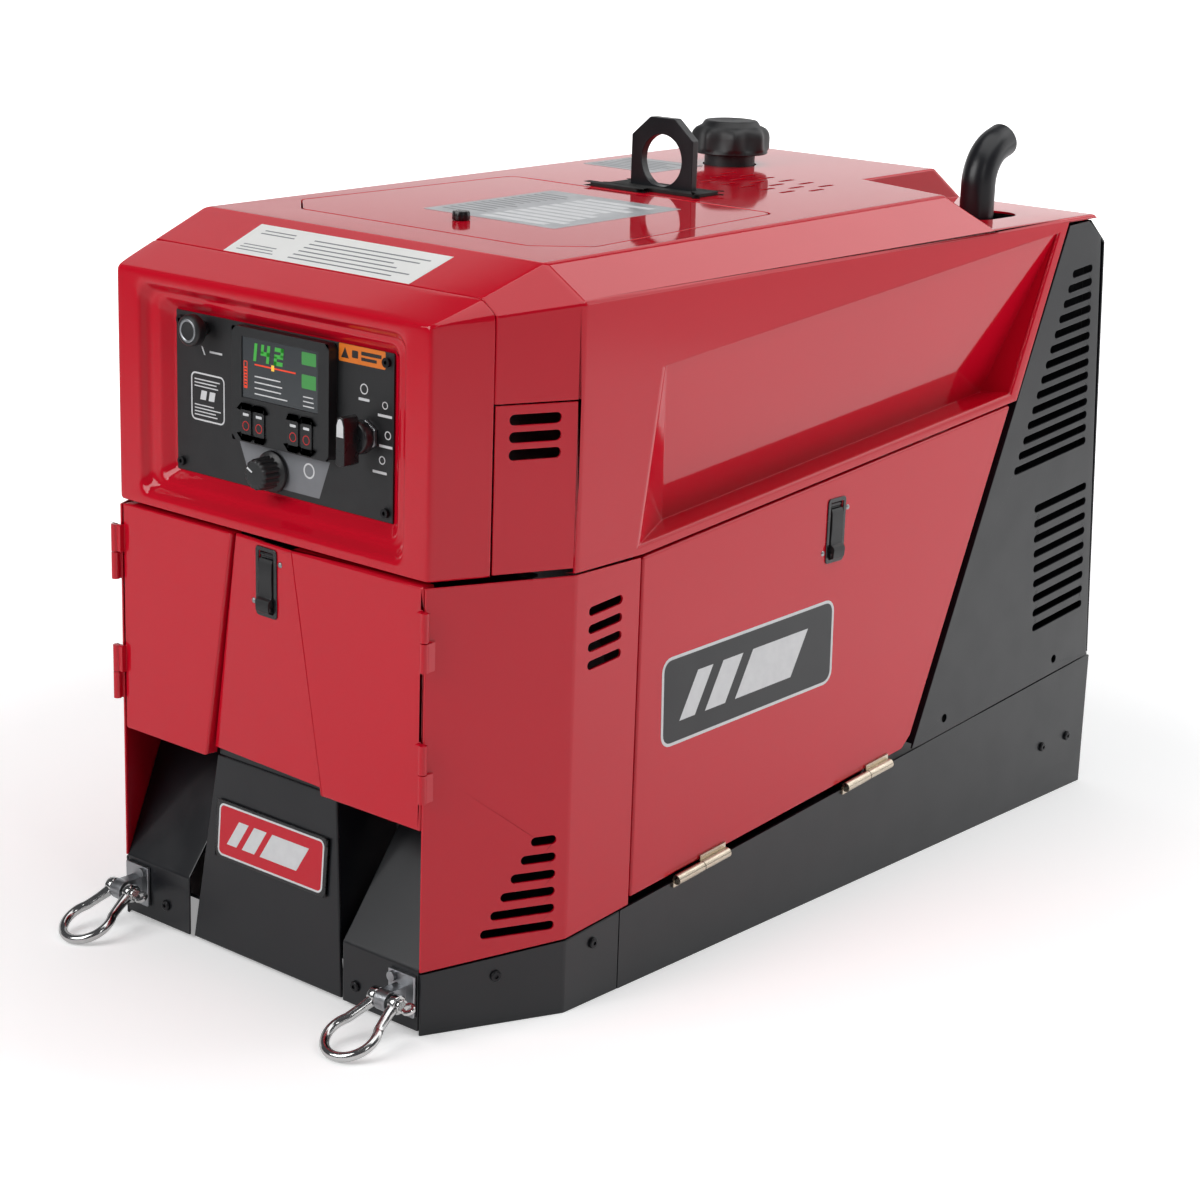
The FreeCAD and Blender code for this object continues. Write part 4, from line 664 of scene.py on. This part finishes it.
fuelCap = {"x": -90.0, "depth": 800.0, "base": 741.94, "lobes": 8}
capProfile = [  # radius, height, groove depth
    (30.6, 0.0), (42.0, 0.0), (43.2, 0.9), (43.2, 3.6, 0.6), (44.6, 4.6, 2.6), (45.4, 7, 4.6), (45.4, 18, 5.4),
    (44.8, 22, 5.4),
    (43.0, 25.6, 4.6), (40.2, 28.4, 3.2), (36.4, 30.2, 1.4), (33.6, 31.4, 0.5), (31.4, 34.6), (29.8, 36.4),
    (27.0, 36.9),
    (22.0, 36.6), (12.0, 36.2), (0.0, 36.0), (0.0, 20.5), (30.6, 20.5), (30.6, 0.0)]
capCentre = at(fuelCap["x"], fuelCap["depth"], fuelCap["base"])
piece = addPiece("fuelCapKnob", *turned(capProfile, capCentre, (0, 0, 1), 128, fuelCap["lobes"], 0.7),
                 "fuel_cap", "stippledAbs", "black_plastic", 50)
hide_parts("fuel_cap")

# ---- panel knobs

panelDepth = 20.3
encoder = {"x": -9.0, "z": 501.5}
encoderProfile = [(0, -11.8), (3.8, -11.8), (3.8, 0.8), (19.4, 0.8), (20.0, 1.4), (19.6, 4.0), (17.6, 5.6),
                  (16.0, 6.2), (15.7, 7.4, 1.6), (15.2, 21.6, 1.6),
                  (14.4, 23.6, 1.3), (12.6, 24.7, 0.4), (9.0, 24.9), (0, 24.9)]
knobCentre = at(encoder["x"], panelDepth - 1.0, encoder["z"])
piece = addPiece("encoderGrip", *turned(encoderProfile, knobCentre, (0, -1, 0), 96, 16, 1.5), "encoder_knob",
                 "stippledAbs", "black_plastic", 40)
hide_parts("encoder_knob")
frontPlane = (np.array(knobCentre) + (0, -0.0249, 0), (1, 0, 0), (0, 0, 1))
addPiece("encoderPointer", *plates([np.array([(-10.5, 5.0), (-3.5, 1.6), (-2.6, 3.0), (-9.4, 6.8)])],
                                   frontPlane, 0.0, 0.12), "encoder_knob", "whiteInk")

choke = {"x": -106.0, "z": 624.0}
chokeCentre = at(choke["x"], panelDepth - 10.0, choke["z"])
chokeProfile = [(0, -60.5), (5.8, -60.5), (5.8, 0.0), (10.0, 0.0), (13.6, 0.8), (15.2, 3.0), (15.4, 9.6),
                (14.6, 11.8), (12.8, 12.9), (11.4, 12.6), (8.0, 11.9), (0, 11.8)]
piece = addPiece("chokePull", *turned(chokeProfile, chokeCentre, (0, -1, 0), 64), "choke_knob", "stippledAbs",
                 "black_plastic", 40)
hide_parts("choke_knob")
faceRing = [(9.0, 11.6), (11.2, 11.6), (11.4, 12.5), (10.8, 12.9), (9.6, 12.9), (8.9, 12.4), (9.0, 11.6)]

selector = {"x": 115.0, "z": 557.0, "lean": 38.0}


def makeSelector():
    # a round barrel with a wedge-shaped grip that narrows to its pointed end
    centre = at(selector["x"], panelDepth - 7.0, selector["z"])
    barrel = turned([(0, -17.8), (7.8, -17.8), (7.8, 0.3), (15.4, 0.3), (16.0, 1.0), (15.6, 8.0), (14.2, 10.2),
                     (11.0, 11.0), (0, 11.2)], centre, (0, -1, 0), 64)
    top = np.array([(-5.4, -22.5), (-2.5, -24.0), (2.5, -24.0), (5.4, -22.5), (5.4, 14.0), (3.4, 20.5),
                    (0, 22.0), (-3.4, 20.5), (-5.4, 14.0)])
    grip = plates([top], (centre, (1, 0, 0), (0, 0, 1)), 9.0, 27.8)
    return joined([barrel, grip])


piece = addPiece("selectorGrip", *makeSelector(), "selector_knob", "polishedNylon", "gloss_black", 35)
roundEdges(piece, 0.8, 40)
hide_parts("selector_knob")
selectorFace = (at(selector["x"], panelDepth - 7.0 - 27.8, selector["z"]), (1, 0, 0), (0, 0, 1))
pointerShape = np.array([(-4.4, 3.0), (4.4, 3.0), (4.2, 13.4), (2.4, 18.6), (0, 20.0), (-2.4, 18.6), (-4.2, 13.4)])
addPiece("selectorPointer", *plates([pointerShape], selectorFace, 0.0, 0.12), "selector_knob", "whiteInk")
hexNut = [(10.2, 0.1), (13.8, 0.1), (14.6, 0.8), (14.6, 3.4), (13.4, 4.2), (10.2, 4.2), (10.2, 0.1)]
panelAxis = (0, -1, 0)
nutCentre = at(selector["x"], panelDepth, selector["z"])
addPiece("selectorNut", *turned(hexNut, nutCentre, panelAxis, 6), "chassis", "zincSteel", "steel", 30)
addPiece("chokeRing", *turned(faceRing, chokeCentre, panelAxis, 48), "choke_knob", "zincSteel", None, 40)
print("knobs made")

# ---- hatch knob

knobPlace = at(3, 256, 720.07)
roofUp = np.array([0, -0.0163, 1]) / math.hypot(1, 0.0163)
hatchKnobProfile = [(0, -11), (3.9, -11), (3.9, -8), (5.9, -8), (5.9, 0.4), (8.4, 0.4), (9.0, 1.2),
                    (9.0, 7.6, 0.5), (8.2, 8.9), (6.0, 9.2), (0, 9.2)]
piece = addPiece("hatchKnobHead", *turned(hatchKnobProfile, knobPlace, roofUp, 48, 12), "hatch_knob",
                 "polishedNylon", "black_plastic", 40)
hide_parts("hatch_knob")

# ---- latch frames, each a thin ring round its paddle with a rivet at each side

latchFrame = {"inner": (11.0, 60.0), "border": 4.2, "lift": 1.4}


def makeLatchFrame(name, plane, body, wide, high):
    # the ring between two rounded rectangles, and two domes turned about the plane's normal
    border = latchFrame["border"]
    hole = roundRect(-wide / 2, wide / 2, 0, high, 1.5)
    rim = roundRect(-wide / 2 - border, wide / 2 + border, -border, high + border, 4.0)
    piece = addPiece(name, *plates([(rim, hole)], plane, 0.0, latchFrame["lift"]), body, "polishedNylon",
                     "gloss_black", 30)
    roundEdges(piece, 0.5, 50)
    normal = np.cross(plane[1], plane[2])
    dome = [(0, 1.5), (1.6, 1.3), (2.6, 0.6), (2.9, 0.05), (0, 0.05)]
    heads = []
    for sideways, up in ((wide / 2 + 8.5, high - 9), (-wide / 2 - 8.5, 8)):
        spot = plane[0] + (sideways * np.array(plane[1]) + up * np.array(plane[2])) / 1000
        heads.append(turned(dome, spot, normal, 20))
    addPiece(name + "Rivets", *joined(heads), body, "zincSteel", "steel", 30)


creaseTop, creaseLow, creaseInner = at(35, 0, 437), at(78.5, 0, 203), at(-85, 8, 203)
creaseNormal = np.cross(creaseLow - creaseTop, creaseInner - creaseTop)
creaseNormal *= -np.sign(creaseNormal[1]) / np.linalg.norm(creaseNormal)
creaseUp = np.array([0, 0, 1]) - creaseNormal * creaseNormal[2]
creaseUp /= np.linalg.norm(creaseUp)
creaseRight = np.cross(creaseUp, creaseNormal)
spot = at(0, 0, 368)
spot[1] -= (spot - creaseTop) @ creaseNormal / creaseNormal[1]
makeLatchFrame("frontLatchFrame", (spot, creaseRight, creaseUp), "front_door_right", 22.0, 60.0)
makeLatchFrame("rightLatchFrame", (at(273, 538, 379), (0, 1, 0), (0, 0, 1)), "side_door_right", 22.0, 60.0)
makeLatchFrame("leftLatchFrame", (at(-273, 538, 379), (0, -1, 0), (0, 0, 1)), "side_door_left", 22.0, 60.0)
strapProfile = [  # up the paddle and out from the face, mm: a lip at the foot, then a strap bowed to the top
    (1.0, 0.0), (1.0, 5.6), (2.4, 6.6), (11.0, 7.2), (13.6, 6.0), (15.4, 3.0), (19.0, 2.4), (34.0, 2.9),
    (48.0, 2.6),
    (51.6, 1.6), (52.8, 0.6), (53.0, 0.0)]


def makeStrap(plane, wide):
    # the strap's profile carried across its width, its two ends closed
    origin, right, up = (np.array(axis, float) for axis in plane)
    normal = np.cross(right, up)
    run = np.array(strapProfile)
    edge = origin + (run[:, :1] * up + run[:, 1:] * normal) / 1000
    sides = np.stack([edge - right * wide / 2000, edge + right * wide / 2000])
    count = len(run)
    strips = [(k, (k + 1) % count, count + (k + 1) % count, count + k) for k in range(count)]
    return sides.reshape(-1, 3), strips + [tuple(range(count)), tuple(range(2 * count - 1, count - 1, -1))]


latchSpots = {
    "frontLatchStrap": ((spot, creaseRight, creaseUp), "front_latch"),
    "rightLatchStrap": ((at(273, 538, 379), (0, 1, 0), (0, 0, 1)), "latch_right"),
    "leftLatchStrap": ((at(-273, 538, 379), (0, -1, 0), (0, 0, 1)), "latch_left"),
}
for name, (plane, body) in latchSpots.items():
    piece = addPiece(name, *makeStrap(plane, 19.0), body, "stippledAbs", None, 30)
    roundEdges(piece, 0.7, 35)
print("latch frames made")

# ---- crease of the right front door: the pressed ridge along its fold

creasePath = np.linspace(at(35.2, 0.3, 434.8), at(78.0, 0.3, 205.0), 24)
creaseBead, quads = swept(creasePath, (0, -1, 0), roundSection(1.0, 16))
addPiece("doorCrease", *capped(creaseBead, quads), "front_door_right", "redPowderCoat", None, 60)

# ---- labels: plain films with rows of bars for print

bezelSlope = np.array([0, 129.0, 45.0])
bezelUp = bezelSlope / np.linalg.norm(bezelSlope)
bezelPlane = (at(0, 57, 673 + 57 * 45 / 129), (1, 0, 0), bezelUp)
hatchUp = np.array([0, 1, 0.0163]) / math.hypot(1, 0.0163)


def roofPlane(x, depth):
    # a plane on the roof, whose height grows 0.0163 for each unit of depth
    return (at(x, depth, 718 + 0.0163 * (depth - 129)), (1, 0, 0), hatchUp)


def bars(x0, x1, y0, y1, rows, fill, seed):
    # rows of short bars with ragged right ends, from a seeded draw
    draw = np.random.default_rng(seed)
    shapes = []
    step = (y1 - y0) / rows
    for row in range(rows):
        end = x1 - (x1 - x0) * draw.uniform(0.0, 0.3)
        y = y1 - (row + 1) * step
        shapes.append(np.array([(x0, y), (end, y), (end, y + step * fill), (x0, y + step * fill)]))
    return shapes


def frameOf(x0, x1, y0, y1, radius, line):
    # a rounded rectangle and the same one drawn in by the line's width
    inner = (x0 + line, x1 - line, y0 + line, y1 - line)
    return (roundRect(x0, x1, y0, y1, radius), roundRect(*inner, max(radius - line, 0.2)))


def trapezoid(x0, x1, y0, x2, x3, y1):
    # x0 to x1 along the foot, x2 to x3 along the head
    return np.array([(x0, y0), (x1, y0), (x3, y1), (x2, y1)])


bezelLabel = [trapezoid(-122, 128, 0.6, -129, 130, 60.0)]
addFilm("bezelLabel", bezelLabel, bezelPlane, (0.02, 0.2), "chassis", "whiteVinyl")
bezelPrint = bars(-40, 118, 8, 52, 6, 0.28, 3) + bars(-112, -52, 8, 24, 3, 0.3, 5) + bars(
    -112, -60, 42, 54, 2, 0.3, 6)
addFilm("bezelLabelPrint", bezelPrint, bezelPlane, (0.2, 0.24), "chassis", "greyInk")
addFilm("hatchLabel", [roundRect(-76, 102, 0, 196, 3)], roofPlane(0, 282), (0.02, 0.2), "roof_hatch",
        "silverVinyl")
hatchPrint = bars(-8, 92, 12, 184, 10, 0.62, 8)
addFilm("hatchLabelPrint", hatchPrint, roofPlane(0, 282), (0.2, 0.24), "roof_hatch", "whiteInk")
addFilm("hatchLabelNotes", bars(-68, -18, 20, 180, 14, 0.3, 9), roofPlane(0, 282), (0.2, 0.24), "roof_hatch",
        "greyInk")
addFilm("rearLabel", [roundRect(-200, -96, 0, 92, 3)], roofPlane(0, 668), (0.02, 0.2), "chassis", "silverVinyl")
addFilm("rearLabelPrint", bars(-194, -102, 10, 84, 7, 0.3, 12), roofPlane(0, 668), (0.2, 0.24), "chassis",
        "greyInk")

# ---- a black sheet behind the front apron, closing the view through under the body: painted shade in the gap where the floor showed through

addPiece("underBodyShadeSheet", *plates([np.array([(-196, 4), (196, 4), (196, 62), (-196, 62)])],
                              (at(0, 96, 0), (1, 0, 0), (0, 0, 1)), 0, 2),
         "chassis", "blackPowderCoat", None, 30)

# ---- plain plates in place of the marks: one bordered panel with slanted stripes each


def slanted(x0, x1, y0, y1, lean):
    # a bar whose head is moved sideways by its lean
    return np.array([(x0, y0), (x1, y0), (x1 + lean, y1), (x0 + lean, y1)])


def addDecal(name, plane, body, wide, high, radius, line, stripes, ground):
    # a filled plate, its light border and slanted stripes, one film over the next
    x, y = wide / 2, high / 2
    inner = (-x + line, x - line, -y + line, y - line)
    addFilm(name + "Ground", [roundRect(*inner, radius - line)], plane, (0.02, 0.14), body, ground)
    addFilm(name + "Border", [frameOf(-x, x, -y, y, radius, line)], plane, (0.02, 0.2), body, "whiteInk")
    marks = [slanted(x0, x1, -0.5 * y, 0.5 * y, 0.3 * high) for x0, x1 in stripes]
    addFilm(name + "Stripes", marks, plane, (0.14, 0.2), body, "whiteInk")


sideRise = math.atan(0.03)
for side, name in ((1, "right"), (-1, "left")):
    rise = math.sin(sideRise)
    right, up = (0, side * math.cos(sideRise), side * rise), (0, -rise, math.cos(sideRise))
    plane = (at(273 * side, 405, 285), right, up)
    stripes = [(-112, -88), (-72, -40), (-24, 68)]
    addDecal(name + "DoorDecal", plane, "side_door_" + name, 280, 92, 14, 3.2, stripes, "blackPowderCoat")
badgeLean = math.atan2(14, 209)
badgeUp = np.array([0, math.sin(badgeLean), math.cos(badgeLean)])
badgeOut = np.array([0, -math.cos(badgeLean), math.sin(badgeLean)])
badgeMiddle = at(0, 2, 4) + (np.array([-2, 0, 0]) + 124 * badgeUp + 2.8 * badgeOut) / 1000
addDecal("apronBadge", (badgeMiddle, (1, 0, 0), badgeUp), "chassis", 150, 54, 7, 2.0,
         [(-62, -48), (-40, -22), (-14, 38)], "redPowderCoat")
print("labels made")

# ---- control panel print and the display

panelPlane = (at(0, panelDepth, 0), (1, 0, 0), (0, 0, 1))
screenPlane = (at(0, 10.7, 0), (1, 0, 0), (0, 0, 1))
segments = {"1": "bc", "4": "fgbc", "2": "abged"}


def digit(shape, x, y, wide, high, bar, slant=0.12):
    # a figure of straight bars on a seven-bar grid
    h = high / 2
    boxes = {"a": (0, high - bar, wide, high), "g": (0, h - bar / 2, wide, h + bar / 2), "d": (0, 0, wide, bar),
             "b": (wide - bar, h, wide, high), "c": (wide - bar, 0, wide, h), "f": (0, h, bar, high),
             "e": (0, 0, bar, h)}
    made = []
    for key in segments[shape]:
        x0, y0, x1, y1 = boxes[key]
        corners = np.array([(x0, y0), (x1, y0), (x1, y1), (x0, y1)])
        made.append(corners + np.stack([x + slant * corners[:, 1], np.full(4, y)], 1))
    return made


def ringOf(x, y, outer, inner, count=24):
    # two circles about one middle
    return (circle(x, y, outer, count), circle(x, y, inner, count))


panelWhite = [frameOf(-127, -79, 533, 580, 6, 1.6), ringOf(38, 510, 7.5, 5.8), ringOf(110, 599, 5.0, 3.9),
              ringOf(137, 588, 3.6, 2.7), ringOf(141, 561, 4.0, 3.0), ringOf(134, 537, 4.0, 2.9)]
panelWhite += [roundRect(103, 117, 588, 590.5, 0.6), roundRect(128, 146, 577, 579.5, 0.6),
               roundRect(130, 147, 549, 551.5, 0.6),
               roundRect(122, 140, 524, 526.5, 0.6), roundRect(-100, -82, 601, 603, 0.6)]
panelWhite += bars(-122, -84, 538, 551, 4, 0.35, 31) + bars(-122, -84, 566, 576, 3, 0.35, 32)
panelWhite += [slanted(-114, -106, 554, 563, 2), slanted(-102, -94, 554, 563, 2)]
panelWhite += [np.array([(-112, 606), (-110, 606), (-106, 598), (-108, 598)])]
addFilm("panelPrint", panelWhite, panelPlane, (0.01, 0.1), "chassis", "whiteInk")
panelGrey = [trapezoid(-42, 52, 486, -58, 66, 523)]
addFilm("panelGreyPrint", panelGrey, panelPlane, (0.005, 0.05), "chassis", "greyInk")
addFilm("panelOrangePrint", [roundRect(77, 137, 620.5, 637, 1.5)], panelPlane, (0.01, 0.1), "chassis",
        "orangeInk")
orangeMarks = [np.array([(80, 624), (90, 624), (85, 634)]), roundRect(94, 102, 625.5, 632.5, 1.0)]
orangeMarks += [roundRect(106, 132, 629.5, 633, 0.5), roundRect(106, 126, 624.5, 627.5, 0.5)]
addFilm("panelOrangeMarks", orangeMarks, panelPlane, (0.1, 0.14), "chassis", "stippledAbs")

figures = sum([digit(s, x, 605.5, 12, 17, 3.8) for s, x in (("1", -36), ("4", -18.5), ("2", 0))], [])
addFilm("displayFigures", figures, screenPlane, (0.0, 0.12), "chassis", "greenBacklight")
tiles = [roundRect(38, 57, 612, 624, 1), roundRect(38, 57, 590, 603, 1)]
addFilm("displayTiles", tiles, screenPlane, (0.0, 0.1), "chassis", "dimBacklight")
gauge = [roundRect(-26, 30, 601.5, 603.0, 0.4), frameOf(-41, -36, 578, 604, 1, 0.8)]
gauge += [roundRect(-40, -37, 579 + 3 * k, 580.6 + 3 * k, 0.3) for k in range(7)]
addFilm("displayGauge", gauge, screenPlane, (0.0, 0.1), "chassis", "redBacklight")
addFilm("displayMarker", [np.array([(-3, 599.5), (1, 599.5), (1, 605), (-3, 605)])], screenPlane, (0.1, 0.2),
        "chassis", "amberBacklight")
rows = bars(-26, 20, 574, 596, 4, 0.22, 21) + bars(40, 55, 573, 586, 3, 0.25, 22)
addFilm("displayRows", rows, screenPlane, (0.0, 0.1), "chassis", "whiteInk")
for number, x in enumerate((-35.5, -17.5, 29.0, 47.0), start=1):
    keyPlane = (at(x, 8.0, 546), (1, 0, 0), (0, 0, 1))
    addFilm("keyRing_%d" % number, [ringOf(0, -3.5, 4.6, 3.7)], keyPlane, (0.0, 0.08), "button_%d" % number,
            "redInk")
    addFilm("keyTab_%d" % number, [roundRect(-4, 4, 6, 8.5, 0.6)], keyPlane, (0.0, 0.08), "button_%d" % number,
            "whiteInk")
print("panel print made")
